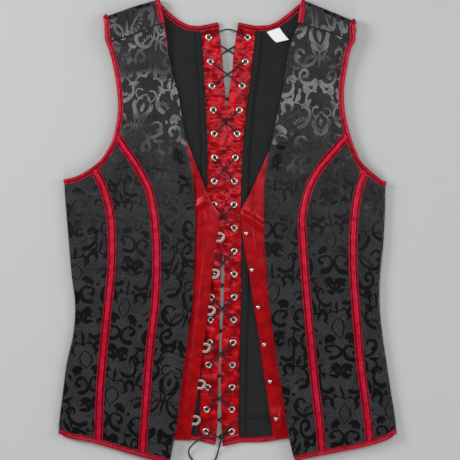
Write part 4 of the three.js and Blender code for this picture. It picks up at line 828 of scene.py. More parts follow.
def wallFaces(rows, cols):
    at = np.arange(rows * cols).reshape(rows, cols)
    a, b, c, d = at[:-1, :-1], at[:-1, 1:], at[1:, 1:], at[1:, :-1]
    top = np.stack([a, b, c, d], -1).reshape(-1, 4) + rows * cols
    under = np.stack([a, d, c, b], -1).reshape(-1, 4)
    ring = np.concatenate([at[0], at[1:, -1], at[-1, -2::-1], at[-2:0:-1, 0]])
    ahead = np.roll(ring, -1)
    rim = np.stack([ring, ahead, ahead + rows * cols, ring + rows * cols], -1)
    return np.vstack([top, under, rim]).tolist()


def clothPiece(name, middle, thickness, material, turn, relief=None, cut=None):
    normal = gridNormals(middle)
    above = thickness / 2 + (0 if relief is None else relief[..., None])
    under = middle - normal * thickness / 2
    over = middle + normal * above
    rows, cols = middle.shape[:2]
    plan = middle[..., :2] * (turn, 1) if cut is None else cut
    points = np.vstack([under.reshape(-1, 3), over.reshape(-1, 3)])
    cuts = np.vstack([plan.reshape(-1, 2)] * 2)
    return makePiece(name, points, wallFaces(rows, cols), material, turn, cuts)


def areaOf(grid):
    a, b = grid[1:, 1:] - grid[:-1, :-1], grid[1:, :-1] - grid[:-1, 1:]
    return float(np.linalg.norm(np.cross(a, b), axis=-1).sum() / 2) * mm * mm


def declareSheet(grid):
    rows = grid[:: max(1, len(grid) // 12)]
    down = grid.transpose(1, 0, 2)[:: max(1, grid.shape[1] // 6)]
    across, down = (max(lengths(line)[-1] for line in lines) for lines in (rows, down))
    area = areaOf(grid)
    flat = (max(across * mm, 0.0102), down * mm)
    if area < 0.31 * flat[0] * flat[1]:
        flat = (area / 0.5 / flat[1], flat[1])
    area = min(area, flat[0] * flat[1])


lowestSweep = 0.03  # nothing goes under the table


def sweepPiece(name, path, normals, section, material, turn, swell=None, replaces=()):
    ahead = np.gradient(path, axis=0)
    ahead /= np.linalg.norm(ahead, axis=1)[:, None]
    inward = np.cross(normals, ahead)
    inward /= np.linalg.norm(inward, axis=1)[:, None]
    upward = np.cross(ahead, inward)
    section = np.array(section, float)
    sizes = np.broadcast_to(section, (len(path), *section.shape)).copy()
    if swell is not None:
        sizes = swell(sizes, lengths(path))
    rings = path[:, None] + inward[:, None] * sizes[..., :1] + upward[:, None] * sizes[..., 1:]
    rings[..., 2] = np.maximum(rings[..., 2], lowestSweep)
    rows, cols = rings.shape[:2]
    at = np.arange(rows * cols).reshape(rows, cols)
    nextAt = np.roll(at, -1, axis=1)
    faces = np.stack([at[:-1], nextAt[:-1], nextAt[1:], at[1:]], -1).reshape(-1, 4).tolist()
    faces.append(at[0][::-1].tolist())
    faces.append(at[-1].tolist())
    around = lengths(np.vstack([section, section[:1]]))[:-1]
    cut = np.stack(np.broadcast_arrays(around[None, :], lengths(path)[:, None]), -1)
    piece = makePiece(name, rings.reshape(-1, 3), faces, material, turn, cut.reshape(-1, 2))
    for node in replaces:
        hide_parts(node)
    return piece, inward, upward


stitchSet = {
    "pitch": 2.8, "length": 1.9, "radius": 0.27, "sides": 5, "fromEnd": 1.0, "sink": 1.1, "lowest": 0.02,
}


def stitchPiece(name, rows, material, turn):
    points, faces = [], []
    n, r = stitchSet["sides"], stitchSet["radius"]
    turns = np.linspace(0, 2 * math.pi, n, endpoint=False)
    for path, above in rows:
        along = lengths(path)
        above = np.broadcast_to(above, path.shape)
        last = along[-1] - stitchSet["length"] - stitchSet["fromEnd"]
        starts = np.arange(stitchSet["fromEnd"], last, stitchSet["pitch"])
        stops = starts + stitchSet["length"]
        a, b, normal = (
            np.stack([np.interp(at, along, line[:, k]) for k in range(3)], -1)
            for at, line in ((starts, path), (stops, path), (starts, above))
        )
        ahead = (b - a) / np.linalg.norm(b - a, axis=1)[:, None]
        side = np.cross(normal, ahead)
        side /= np.linalg.norm(side, axis=1)[:, None]
        over = np.cross(ahead, side)
        ring = side[:, None] * np.cos(turns)[:, None] + over[:, None] * np.sin(turns)[:, None]
        dip = over * r * stitchSet["sink"]
        tip = ahead[:, None] * r
        rings = [a[:, None] + tip + ring * r, b[:, None] - tip + ring * r]
        cells = np.concatenate([(a - dip)[:, None], *rings, (b - dip)[:, None]], 1)
        for cell in cells:
            first = len(points) * (2 * n + 2)
            points.append(cell)
            for k in range(n):
                m = (k + 1) % n
                faces.append((first, first + 1 + m, first + 1 + k))
                faces.append((first + 1 + k, first + 1 + m, first + 1 + n + m, first + 1 + n + k))
                faces.append((first + 1 + n + k, first + 1 + n + m, first + 1 + 2 * n))
    points = np.vstack(points).reshape(-1, 3)
    points[:, 2] = np.maximum(points[:, 2], stitchSet["lowest"])
    return makePiece(name, points, faces, material, turn)


rippleSet = {"waves": 7, "shortest": 0.62, "step": 0.17, "bend": 0.8, "calm": 4}


def ripple(x, y, size, seed):  # smooth even noise about -1..1 from a few waves
    angles = np.random.default_rng(seed).uniform(0, 2 * math.pi, (rippleSet["waves"], 3))
    total = 0
    for k, (way, phase, drift) in enumerate(angles):
        pitch = size * (rippleSet["shortest"] + rippleSet["step"] * k)
        bent = rippleSet["bend"] * np.sin((y - x) / pitch + drift)
        total = total + np.sin((x * math.cos(way) + y * math.sin(way)) * 2 * math.pi / pitch + phase + bent)
    return total / rippleSet["calm"]


# Fronts
frontSet = {
    "seamRows": 150, "armholeRows": 58, "centreColumns": 50, "middleColumns": 26, "sideColumns": 22,
    "rollSteps": 12, "broadWrinkle": 0.28, "fineWrinkle": 0.1,
    "innerMeets": 136, "outerMeets": 89, "seamGap": 0.1, "shoulderGap": 0.6,  # where seams reach the armhole
    "edgeSection": [(0.9, -0.5), (0.9, 0.4), (0.4, 0.75), (-0.4, 0.75), (-0.9, 0.4), (-0.9, -0.5)],
    "cut": {  # turn in degrees, then shift in mm, of each panel on the cloth
        "front_left_centre": (14, 20, 10), "front_left_middle": (8, 55, 40), "front_left_side": (-6, 10, 70),
        "front_right_centre": (0, -6, 0), "front_right_middle": (-3, 40, 55), "front_right_side": (5, 70, 20),
    },
}


def edgeDistance(grid):  # how far in from the nearest edge of its cloth each point lies
    across = np.array([lengths(row) for row in grid])
    down = np.array([lengths(column) for column in grid.transpose(1, 0, 2)]).T
    return np.min([across, across[:, -1:] - across, down, down[-1:] - down], axis=0)


def seamRows(seam, bottom, top, shares):
    y = bottom[1] + (top[1] - bottom[1]) * shares
    return np.stack([seam(y) + smooth(0.82, 1, shares) * (top[0] - seam(top[1])), y], 1)


def hemPoint(form, seam):
    y = -300.0
    for _ in range(20):
        y = float(yAtOut(form["frontHem"], seam(y)))
    return np.array([float(seam(y)), y])


def hemBetween(form, a, b, count):
    out = np.linspace(a[0], b[0], count + 1)
    return np.stack([out, yAtOut(form["frontHem"], out)], 1)


def buildFront(half, label):
    turn, form = half["turn"], shapeOf(half)
    armhole = form["armhole"]
    atInner, atOuter = shareAtY(armhole, frontSet["innerMeets"]), shareAtY(armhole, frontSet["outerMeets"])
    innerTop, outerTop, sideTop = armhole(atInner), armhole(atOuter), armhole(0.985)
    shares = np.linspace(0, 1, frontSet["seamRows"] + 1)
    inner = seamRows(form["innerSeam"], hemPoint(form, form["innerSeam"]), innerTop, shares)
    outer = seamRows(form["outerSeam"], hemPoint(form, form["outerSeam"]), outerTop, shares)
    gap, shoulderGap = np.array([frontSet["seamGap"], 0]), frontSet["shoulderGap"]

    atSeam = shareAtY(armhole, form["shoulderSeam"](0.0)[1] + 0.5)
    armRows = armhole(np.linspace(atInner, atSeam, frontSet["armholeRows"] + 1))[1:]
    centreOuter = np.vstack([inner - gap, armRows])
    low, high = form["frontHem"](0.0)[1], form["shoulderSeam"](1.0)[1] - shoulderGap
    rise = centreOuter[:, 1] - centreOuter[0, 1]
    y = low + (high - low) * rise / rise[-1]
    centreInner = np.stack([form["frontEdge"](y), y], 1)
    centreTop = form["shoulderSeam"](np.linspace(1, 0, frontSet["centreColumns"] + 1)) - (0, shoulderGap)
    centreTop[0], centreTop[-1] = centreInner[-1], centreOuter[-1]
    centreBottom = hemBetween(form, centreInner[0], centreOuter[0], frontSet["centreColumns"])
    centreBottom[0] = centreInner[0]
    centreOuter[0] = centreBottom[-1]
    centre = onFront(form, patch(centreInner, centreOuter, centreBottom, centreTop))

    middleInner, middleOuter = inner + gap, outer - gap
    middleTop = armhole(np.linspace(atInner, atOuter, frontSet["middleColumns"] + 1))
    middleBottom = hemBetween(form, middleInner[0], middleOuter[0], frontSet["middleColumns"])
    middleTop[0], middleTop[-1] = middleInner[-1], middleOuter[-1]
    middleInner[0], middleOuter[0] = middleBottom[0], middleBottom[-1]
    middle = onFront(form, patch(middleInner, middleOuter, middleBottom, middleTop))

    sideInner = outer + gap
    y = form["frontHem"](1.0)[1] + (sideTop[1] - form["frontHem"](1.0)[1]) * shares
    rollLow = backBase + cloth["front"] / 2
    rollHigh = form["frontUnder"](form["side"](y) - 4, y) + cloth["front"] / 2
    radius = (rollHigh - rollLow) / 2
    rollCentre = form["side"](y) - cloth["front"] / 2 - radius
    sideOuter = np.stack([rollCentre, y], 1)
    sideTopEdge = armhole(np.linspace(atOuter, 0.97, frontSet["sideColumns"] + 1))
    sideBottomEdge = hemBetween(form, sideInner[0], sideOuter[0], frontSet["sideColumns"])
    sideTopEdge[0], sideTopEdge[-1] = sideInner[-1], sideOuter[-1]
    sideInner[0], sideBottomEdge[-1] = sideBottomEdge[0], sideOuter[0]
    sidePanel = onFront(form, patch(sideInner, sideOuter, sideBottomEdge, sideTopEdge))
    sidePanel[:, -1, 2] = rollHigh
    angles = np.arange(1, frontSet["rollSteps"] + 1) / frontSet["rollSteps"] * math.pi
    roll = np.stack(
        [
            rollCentre[:, None] + radius[:, None] * np.sin(angles),
            np.broadcast_to(y[:, None], (len(y), len(angles))),
            (rollLow + radius)[:, None] + radius[:, None] * np.cos(angles),
        ],
        -1,
    )
    under = np.stack([form["side"](y) - sideTurnUnder, y, np.full_like(y, rollLow)], -1)[:, None]
    sidePanel = np.concatenate([sidePanel, roll, under], 1)

    for part, grid in (("centre", centre), ("middle", middle), ("side", sidePanel)):
        name = f"front_{label}_{part}"
        along = np.array([lengths(row) for row in grid])
        cut = np.stack([(grid[:, :1, 0] + along) * turn, grid[..., 1]], -1)
        angle, shiftX, shiftY = frontSet["cut"][name]
        cosine, sine = math.cos(math.radians(angle)), math.sin(math.radians(angle))
        cut = cut @ np.array([[cosine, sine], [-sine, cosine]]) + (shiftX, shiftY)
        gridOut, gridY = grid[..., 0], grid[..., 1]
        broad = frontSet["broadWrinkle"] * ripple(gridOut * 1.3, gridY * 0.8, 70, 11 + turn)
        fine = frontSet["fineWrinkle"] * ripple(gridOut, gridY, 28, 13 + turn)
        relief = (broad + fine) * smooth(4, 18, edgeDistance(grid))
        piece = clothPiece("brocade_" + name, grid, cloth["front"], brocade, turn, relief, cut)
        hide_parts(name)
        declareSheet(grid)
    if turn < 0:  # the facing shows as a sliver down the top of this edge
        edgeY = np.linspace(285.5, 251, 60)
        edgeOut = form["frontEdge"](edgeY)
        edge = np.stack([edgeOut - 0.35, edgeY, form["frontUnder"](edgeOut, edgeY) + 0.9], 1)
        taper = (0.35 + 0.65 * smooth(251, 262, edgeY))[:, None]

        def thin(sizes, _):
            sizes *= taper[..., None]
            return sizes

        section = frontSet["edgeSection"]
        normals = np.tile(up, (len(edge), 1))
        sweepPiece("satin_facing_edge", edge, normals, section, channelSatin, turn, thin)
    print("front", label)
    return {
        "form": form, "centre": centre, "middle": middle, "side": sidePanel,
        "atSeam": atSeam, "rollY": y, "inner": inner, "outer": outer,
    }


# Boning channels: a padded satin strip with a stitched groove on each side
channelSet = {
    "sitsIn": 0.1, "from": 2.6, "upTo": 3.4, "rows": 260, "endsFlat": 0.6, "grooveAt": 4.1,
    "grooveWidth": 1.6, "pinch": 0.10, "wave": 0.06, "wander": 0.12, "stitchHeight": 0.42,
    "flat": [(-6.3, 0, 0), (-4, 0, 1.5), (0, 0, 2), (4, 0, 1.5), (6.3, 0, 0)],
}


def buildChannel(half, label, which, seam, form):
    low, high = seam[0, 1] + channelSet["from"], seam[-1, 1] - channelSet["upTo"]
    y = np.linspace(low, high, channelSet["rows"])
    out = np.interp(y, seam[:, 1], seam[:, 0])
    across = [form["frontUnder"](out + d, y) for d in (-5, 0, 5)]
    path = np.stack([out, y, np.mean(across, axis=0) + cloth["front"] - channelSet["sitsIn"]], 1)
    normals = np.tile(up, (len(path), 1))

    def swell(sizes, s):
        pinch = channelSet["pinch"] * ripple(s[:, None], sizes[..., 0] * 3, 9, 5)
        pinch = pinch + channelSet["wave"] * np.sin(s / 2.9)[:, None]
        fromGroove = (np.abs(sizes[..., 0]) - channelSet["grooveAt"]) / channelSet["grooveWidth"]
        sizes[..., 1] *= 1 + pinch * (0.6 + np.exp(-(fromGroove**2)))
        sizes[..., 0] += channelSet["wander"] * ripple(s[:, None], sizes[..., 0] * 0, 17, 8)
        nearEnd = 1 - smooth(3, 9, np.minimum(s, s[-1] - s))
        sizes[..., 1] *= 1 - channelSet["endsFlat"] * nearEnd[:, None]
        return sizes

    name, turn = f"channel_{label}_{which}", half["turn"]
    piece, inward, upward = sweepPiece(
        "satin_" + name, path, normals, channelSection, channelSatin, turn, swell, [name]
    )
    grid = path[:, None] + np.array(channelSet["flat"])
    path, inward, upward = path[5:-5], inward[5:-5], upward[5:-5]
    lift = upward * channelSet["stitchHeight"]
    rows = [(path + inward * side * channelSet["grooveAt"] + lift, upward) for side in (-1, 1)]
    stitchPiece("stitches_" + name, rows, redThread, turn)
    declareSheet(grid)


# Back of one half: flat, over the shoulder fold and down to the shoulder seam
backSet = {
    "columns": 44, "armholeRows": 110, "neckRows": 40, "foldSteps": 16, "seamSteps": 14,
    "inset": 2.0, "yokeStitch": 4.6, "seamRows": 60, "liningColumns": 24, "liningWrinkle": 0.34,
    # seamShadowSection is the cross-section of the dark strip that paints the shoulder seam's shadow
    "seamShadowSection": [(1.1, -0.5), (1.1, 0.15), (0, 0.3), (-1.1, 0.15), (-1.1, -0.5)],
    "stripWidth": 8.5, "stripRows": 300, "stripColumns": 15,
}


def buildBack(half, label, front):
    turn, form = half["turn"], front["form"]
    n = backSet["columns"]
    foldLine = form["fold"](np.linspace(1, 0, n + 1))
    a, b = form["fold"](0.0), form["fold"](1.0)
    outward = np.array([a[1] - b[1], b[0] - a[0]])
    outward *= np.sign(outward[1]) / np.linalg.norm(outward)
    seamLine = form["shoulderSeam"](np.linspace(1, 0, n + 1)) + (0, frontSet["shoulderGap"])
    seamLine[-1] = form["armhole"](front["atSeam"] - 0.006)
    inside = foldLine - 6 * outward
    low = backBase + cloth["back"] / 2
    high = form["frontUnder"](inside[:, 0], inside[:, 1]) + cloth["front"] / 2
    radius = (high - low) / 2
    arcs = foldLine - outward * (radius + cloth["back"] / 2)[:, None]
    arcs[-1, 0] -= bindingReach
    arcs[0, 0] += bindingReach * 0.6

    backArmhole = planCurve(half["armhole"], -bindingReach - backSet["inset"])
    armStart = shareAtY(backArmhole, arcs[-1, 1] - 2)
    line = backArmhole(fineShares)
    inside = line[:, 0] <= form["side"](line[:, 1]) - sideTurnUnder - 0.3
    armSideStart = float(fineShares[np.nonzero(inside)[0][-1]])
    y = front["rollY"][:-1]
    sideRows = np.stack([form["side"](y) - sideTurnUnder - 0.3, y], 1)
    armShares = np.linspace(armSideStart, armStart, backSet["armholeRows"] + 1)
    outerEdge = np.vstack([sideRows, backArmhole(armShares)])
    outerEdge[-1] = arcs[-1]
    rows = len(outerEdge)
    neck = form["backNeck"](np.linspace(1, 0, backSet["neckRows"] + 1))
    neck[-1] = arcs[0]
    bottomY = float(yAtOut(form["backHem"], form["lacingOuter"](-288)))
    plainRows = rows - backSet["neckRows"] - 1

    def rowsUp(low, bend, high):  # heights of the rows up the inner edge, below the neck
        lower = np.linspace(low, bend, len(sideRows), endpoint=False)
        return np.concatenate([lower, np.linspace(bend, high, plainRows - len(sideRows), endpoint=False)])

    y = rowsUp(bottomY, 75, neck[0, 1])
    innerEdge = np.vstack([np.stack([form["lacingOuter"](y) + 0.1, y], 1), neck])
    out = np.linspace(innerEdge[0, 0], outerEdge[0, 0], n + 1)
    bottom = np.stack([out, yAtOut(form["backHem"], out)], 1)
    innerEdge[0], outerEdge[0] = bottom[0], bottom[-1]
    innerEdge[-1] = arcs[0]
    flat = withHeight(patch(innerEdge, outerEdge, bottom, arcs), backBase + cloth["back"] / 2)
    flatRows = len(flat)

    angles = np.arange(1, backSet["foldSteps"] + 1) / backSet["foldSteps"] * math.pi
    fold = []
    for t in angles:
        foldPlan = arcs + outward * (radius * math.sin(t))[:, None]
        fold.append(withHeight(foldPlan, low + radius - radius * math.cos(t)))
    shares = np.arange(1, backSet["seamSteps"] + 1) / backSet["seamSteps"]
    over = onFront(form, arcs[None] + (seamLine - arcs)[None] * shares[:, None, None])
    grid = np.concatenate([flat, fold, over])
    down = np.array([lengths(column) for column in grid.transpose(1, 0, 2)]).T
    cut = np.stack([grid[..., 0] * turn, grid[:1, :, 1] + down], -1)
    fromSeam = down[-1:] - down
    piece = clothPiece("brocade_back_" + label, grid, cloth["back"], brocade, turn, cut=cut)
    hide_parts("back_" + label)
    declareSheet(grid)
    stitchAt = -backSet["yokeStitch"]
    row = []
    for i in range(1, n):
        row.append([np.interp(stitchAt, -fromSeam[:, i], grid[:, i, k]) for k in range(3)])
    row = np.array(row) + (0, 0, cloth["back"] / 2 + 0.1)
    stitchPiece("stitches_yoke_" + label, [(row, np.array(up))], blackThread, turn)
    # painted shade: a dark twill strip along the shoulder seam stands in for the shadow in the seam's ditch
    line = form["shoulderSeam"](np.linspace(0.03, 0.97, backSet["seamRows"]))
    path = withHeight(line, form["frontUnder"](line[:, 0], line[:, 1]) + cloth["front"] + 0.05)
    normals = np.tile(up, (len(path), 1))
    sweepPiece("shoulder_seam_shadow_strip_" + label, path, normals, backSet["seamShadowSection"], twill, turn)

    clear = bindingReach + bindingWidth + 0.5
    linedNeck = planCurve(half["backNeck"], clear)(np.linspace(1, 0.12, backSet["neckRows"] + 1))
    linedShares = np.linspace(armSideStart - 0.02, armStart + 0.1, backSet["armholeRows"] + 1)
    linedArmhole = planCurve(half["armhole"], -clear - backSet["inset"])(linedShares)
    outerLine = np.vstack([sideRows - (3, 0), linedArmhole])

    def linedHem(out):
        return yAtOut(form["backHem"], out) + clear - bindingReach

    y = rowsUp(linedHem(40), 70, linedNeck[0, 1])
    innerLine = np.vstack([np.stack([form["lacingOuter"](y) + 0.3, y], 1), linedNeck])
    across = backSet["liningColumns"] + 1
    out = np.linspace(innerLine[0, 0], outerLine[0, 0], across)
    bottom = np.stack([out, linedHem(out)], 1)
    innerLine[0], outerLine[0] = bottom[0], bottom[-1]
    share = np.linspace(0, 1, across)[:, None]
    top = innerLine[-1] * (1 - share) + outerLine[-1] * share
    plan = patch(innerLine, outerLine, bottom, top)
    wrinkle = backSet["liningWrinkle"] * ripple(plan[..., 0], plan[..., 1] * 0.5, 46, 21)
    lining = withHeight(plan, liningBase + cloth["lining"] / 2 + 0.1 + wrinkle)
    piece = clothPiece("twill_lining_" + label, lining, cloth["lining"], twill, turn)
    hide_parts("back_lining_" + label)
    declareSheet(lining)

    y = np.linspace(linedHem(44) + 0.5, linedNeck[0, 1] - 1, backSet["stripRows"])[:, None]
    across = np.linspace(0, backSet["stripWidth"], backSet["stripColumns"])
    out = form["lacingOuter"](y) + 0.5 + across
    plan = np.stack([out, np.broadcast_to(y, out.shape)], -1)
    fromStitches = np.abs(np.abs(across - backSet["stripWidth"] / 2) - 2.9)
    pillow = 0.9 * smooth(0, 1.6, fromStitches) * np.ones_like(y)
    strip = withHeight(plan, stripBase + cloth["strip"] / 2)
    name = "bone_strip_" + label
    piece = clothPiece("twill_" + name, strip, cloth["strip"], twill, turn, pillow - 0.3)
    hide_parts(name)
    lift = (0, 0, cloth["strip"] / 2 + 0.55)
    rows = [(strip[:, column] + lift, np.array(up)) for column in (2, 12)]
    stitchPiece("stitches_bone_strip_" + label, rows, blackThread, turn)
    declareSheet(strip)
    print("back", label)
    return {"grid": grid, "flatRows": flatRows, "sideRows": len(sideRows), "neckRows": backSet["neckRows"]}


# Lacing panels with their eyelets
lacingSet = {
    "columns": 26, "rows": 420, "holeRadius": 2.5, "holeDepth": 4, "holeSides": 20, "broadWrinkle": 0.75,
    "fineWrinkle": 0.2, "count": 18, "firstEyelet": 268.8, "eyeletPitch": 33.7, "pitchLoss": 0.1,
    "inset": 9.5, "eyeletSides": 28,
}
eyeletProfile = [
    (2.35, -2.8), (2.35, 0.2), (2.5, 0.75), (2.95, 1.05), (3.5, 1.05), (4.1, 0.8), (4.6, 0.35),
    (4.65, 0.05), (3.2, -0.1), (2.9, -2.8),
]


def eyeletPlaces(form):
    i = np.arange(lacingSet["count"])
    y = lacingSet["firstEyelet"] - lacingSet["eyeletPitch"] * i + lacingSet["pitchLoss"] * i * i
    out = form["lacingOuter"](y) - lacingSet["inset"]
    z = form["lacingUnder"](out, y) + cloth["lacing"]
    slope = (form["lacingUnder"](out + 1, y) - form["lacingUnder"](out - 1, y)) / 2
    normals = np.stack([-slope, np.zeros_like(y), np.ones_like(y)], 1)
    return np.stack([out, y, z], 1), normals / np.linalg.norm(normals, axis=1)[:, None]


def lathe(profile, centre, normal, steps):
    normal = np.asarray(normal, float)
    side = np.cross((0.0, 1.0, 0.0), normal)
    side /= np.linalg.norm(side)
    front = np.cross(normal, side)
    angles = np.linspace(0, 2 * math.pi, steps, endpoint=False)
    ring = np.cos(angles)[:, None] * side + np.sin(angles)[:, None] * front
    profile = np.asarray(profile, float)
    return centre + profile[:, None, :1] * ring[None] + profile[:, None, 1:] * normal


def latheFaces(rings, steps, closed, first=0):
    at = np.arange(rings * steps).reshape(rings, steps) + first
    if closed:
        at = np.vstack([at, at[:1]])
    nextAt = np.roll(at, -1, axis=1)
    return np.stack([at[:-1], nextAt[:-1], nextAt[1:], at[1:]], -1).reshape(-1, 4)


def buildLacing(half, label, form):
    turn = half["turn"]
    u = np.linspace(0, 1, lacingSet["columns"] + 1)
    s = np.linspace(0, 1, lacingSet["rows"] + 1)

    def across(y):
        return form["lacingInner"](y) * (1 - u) + (form["lacingOuter"](y) - 0.1) * u

    bottom, top = form["lacingBottom"](across(-292.0)), form["lacingTop"](across(288.0))
    y = bottom[None] + (top - bottom)[None] * s[:, None]
    out = across(y)
    places, normals = eyeletPlaces(form)
    nearEyelet = np.min([np.hypot(out - p[0], y - p[1]) for p in places], axis=0)
    fade = smooth(4.5, 8.5, nearEyelet) * smooth(0, 5, np.minimum(y - bottom, top - y))
    broad = lacingSet["broadWrinkle"] * ripple(out * 1.2, y, 21, 31 + turn)
    relief = fade * (broad + lacingSet["fineWrinkle"] * ripple(out, y, 10, 41 + turn))
    grid = withHeight(np.stack([out, y], -1), form["lacingUnder"](out, y) + cloth["lacing"] / 2)
    piece = clothPiece("satin_lacing_" + label, grid, cloth["lacing"], satin, turn, relief)
    cutter, cutterFaces = [], []
    sides, depth = lacingSet["holeSides"], lacingSet["holeDepth"]
    for place, normal in zip(places, normals):
        rings = lathe([(lacingSet["holeRadius"], end) for end in (-depth, depth)], place, normal, sides)
        first = len(cutter) * 2 * sides
        cutter.append(rings.reshape(-1, 3))
        cutterFaces += latheFaces(2, sides, False, first).tolist()
        cutterFaces.append(list(range(first + sides - 1, first - 1, -1)))
        cutterFaces.append(list(range(first + sides, first + 2 * sides)))
    holes = bpy.data.meshes.new("holes")
    points = toRow(np.vstack(cutter), turn)
    holes.from_pydata(points.tolist(), [], [face[::-1] for face in cutterFaces] if turn < 0 else cutterFaces)
    holesObject = addObject("holes", holes)
    cutting = piece.modifiers.new("eyeletHoles", "BOOLEAN")
    cutting.operation = "DIFFERENCE"
    cutting.solver = "EXACT"
    cutting.object = holesObject
    graph = bpy.context.evaluated_depsgraph_get()
    cutMesh = bpy.data.meshes.new_from_object(piece.evaluated_get(graph), depsgraph=graph)
    piece.modifiers.clear()
    piece.data = cutMesh
    bpy.data.objects.remove(holesObject)
    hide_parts("lacing_panel_" + label)
    declareSheet(grid)

    rings, faces = [], []
    sides = lacingSet["eyeletSides"]
    for place, normal in zip(places, normals):
        first = len(rings) * len(eyeletProfile) * sides
        rings.append(lathe(eyeletProfile, place, normal, sides).reshape(-1, 3))
        faces += latheFaces(len(eyeletProfile), sides, True, first).tolist()
    makePiece("eyelets_" + label, np.vstack(rings), faces, nickel, turn, sharpFrom=60)
    print("lacing", label)
    return {"grid": grid, "places": places}


# Busk facings
facingSet = {
    "rows": 300, "columns": 34, "bandRise": 0.55, "groove": 0.2, "grooveAt": 17.0, "secondRise": 0.2,
    "crease": 2.1, "creaseAt": {-1: 41, 1: 17}, "creaseWidth": 5.5, "wrinkle": 0.16,
    "stitchesAt": (2.6, 16.9),
}


def buildFacing(half, label, form):
    turn = half["turn"]
    table = half["facingInner"]
    top, bottom = table["y"][0], table["y"][-1]
    s = np.linspace(0, 1, facingSet["rows"] + 1)
    u = np.linspace(0, 1, facingSet["columns"] + 1)
    y = bottom + (top - bottom) * s
    inner, outer = form["facingInner"](y), form["frontEdge"](y) + hiddenLap
    out = inner[:, None] * (1 - u) + outer[:, None] * u
    yy = y[:, None] + np.where(s[:, None] == 1, u * 4, 0)
    fromEdge = out - inner[:, None]
    low = 1 - smooth(15, 45, yy)  # the busk ends below the corner
    band = facingSet["bandRise"] * smooth(0.3, 3.4, fromEdge) * (1 - smooth(12.5, 17.0, fromEdge))
    groove = -facingSet["groove"] * np.exp(-(((fromEdge - facingSet["grooveAt"]) / 1.4) ** 2))
    second = facingSet["secondRise"] * smooth(17.2, 19, fromEdge) * (1 - smooth(26, 30, fromEdge))
    relief = low * (band + groove + second)
    fromCrease = (yy - facingSet["creaseAt"][turn]) + (out - 34) * 0.62
    crease = facingSet["crease"] * np.exp(-(fromCrease / facingSet["creaseWidth"]) ** 2)
    wrinkle = facingSet["wrinkle"] * ripple(out, yy, 27, 61 + turn)
    relief = relief + crease * smooth(0, 6, fromEdge) + wrinkle
    grid = withHeight(np.stack([out, yy], -1), form["facingUnder"](out, yy) + cloth["facing"] / 2)
    top = grid[..., 2] + cloth["facing"] / 2 + relief
    rows = []
    for fromInner in facingSet["stitchesAt"]:
        row = []
        for k, t in enumerate(fromInner / (outer - inner)):
            row.append([np.interp(t, u, values) for values in (out[k], yy[k], top[k])])
        last = 250 if fromInner > 9 else -3  # the outer row ends at the top of the busk
        rows.append((np.array(row[3:last]) + (0, 0, 0.12), np.array(up)))
    stitchPiece("stitches_facing_" + label, rows, redThread, turn)
    name = "busk_facing_" + label
    piece = clothPiece("satin_" + name, grid, cloth["facing"], facingSatin, turn, relief=relief)
    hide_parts(name)
    declareSheet(grid)


# Bindings, folded round the armholes, hems and neck
bindingSet = {
    "stitchesAt": 4.4, "stitchHeight": 1.5, "flat": ((6, -1.2), (0, -2), (-1.45, 0), (0, 2), (6, 1.2)),
    "leastStep": 1.6, "pinch": 0.07, "wave": 0.05,
}


def thinned(path, normals):
    keep = [0]
    for i in range(1, len(path)):
        if np.linalg.norm(path[i] - path[keep[-1]]) > bindingSet["leastStep"] or i == len(path) - 1:
            keep.append(i)
    return path[keep], normals[keep]


def bindingPiece(name, parts, turn):
    path = np.vstack([points for points, _ in parts])
    normals = np.vstack([normals for _, normals in parts])
    path, normals = thinned(path, normals)
    for _ in range(2):
        normals[1:-1] = (normals[:-2] + 2 * normals[1:-1] + normals[2:]) / 4
        normals /= np.linalg.norm(normals, axis=1)[:, None]

    def swell(sizes, s):
        pinch = bindingSet["pinch"] * ripple(s[:, None], sizes[..., 0] * 2, 11, 71)
        pinch = pinch + bindingSet["wave"] * np.sin(s / 1.7)[:, None]
        sizes[..., 1] *= 1 + pinch * smooth(0.9, 1.4, np.abs(sizes[..., 1]))
        return sizes

    piece, inward, upward = sweepPiece(
        "satin_" + name, path, normals, bindingSection, bindingSatin, turn, swell, [name]
    )
    middle, lift = path + inward * bindingSet["stitchesAt"], upward * bindingSet["stitchHeight"]
    rows = [(middle + lift, upward), (middle - lift, -upward)]
    stitchPiece("stitches_" + name, rows, redThread, turn)
    grid = np.stack([path + inward * a + normals * b for a, b in bindingSet["flat"]], 1)
    declareSheet(grid)


def buildBindings(half, label, front, back, lacing):
    centre, middle, side, grid = front["centre"], front["middle"], front["side"], back["grid"]
    flat = back["flatRows"]

    def plain(cells, grid0):
        return grid0[cells], gridNormals(grid0)[cells]

    def turned(cells, grid0):
        normals = gridNormals(grid0)[cells]
        lift = (cloth["front"] - cloth["back"]) / 2
        return grid0[cells] + (0, 0, lift), -normals

    everyRow = slice(None)
    seamRow = frontSet["seamRows"]
    armholeParts = [
        plain((-1, slice(None, None, -1)), side),
        plain((-1, slice(None, None, -1)), middle),
        plain((slice(seamRow, None), -1), centre),
        turned((slice(None, flat - 2, -1), -1), grid),
        turned((slice(flat - 2, back["sideRows"], -1), -1), grid),
    ]
    hemParts = [
        plain((0, everyRow), centre),
        plain((0, everyRow), middle),
        plain((0, everyRow), side),
        turned((0, slice(None, None, -1)), grid),
        turned((0, slice(None, None, -1)), lacing["grid"]),
    ]
    neckParts = [
        turned((-1, everyRow), lacing["grid"]),
        turned((slice(flat - back["neckRows"] - 1, None), 0), grid),
    ]
    for name, parts in (("armhole", armholeParts), ("hem", hemParts), ("neck", neckParts)):
        bindingPiece(f"{name}_binding_{label}", parts, half["turn"])


halves = {"left": leftHalf, "right": rightHalf}
built = {}
for label, half in halves.items():
    front = buildFront(half, label)
    for which in ("inner", "outer"):
        buildChannel(half, label, which, front[which], front["form"])
    back = buildBack(half, label, front)
    lacing = buildLacing(half, label, front["form"])
    buildFacing(half, label, front["form"])
    buildBindings(half, label, front, back, lacing)
    built[label] = {"places": lacing["places"], "form": front["form"]}
print("panels, bindings and facings made")

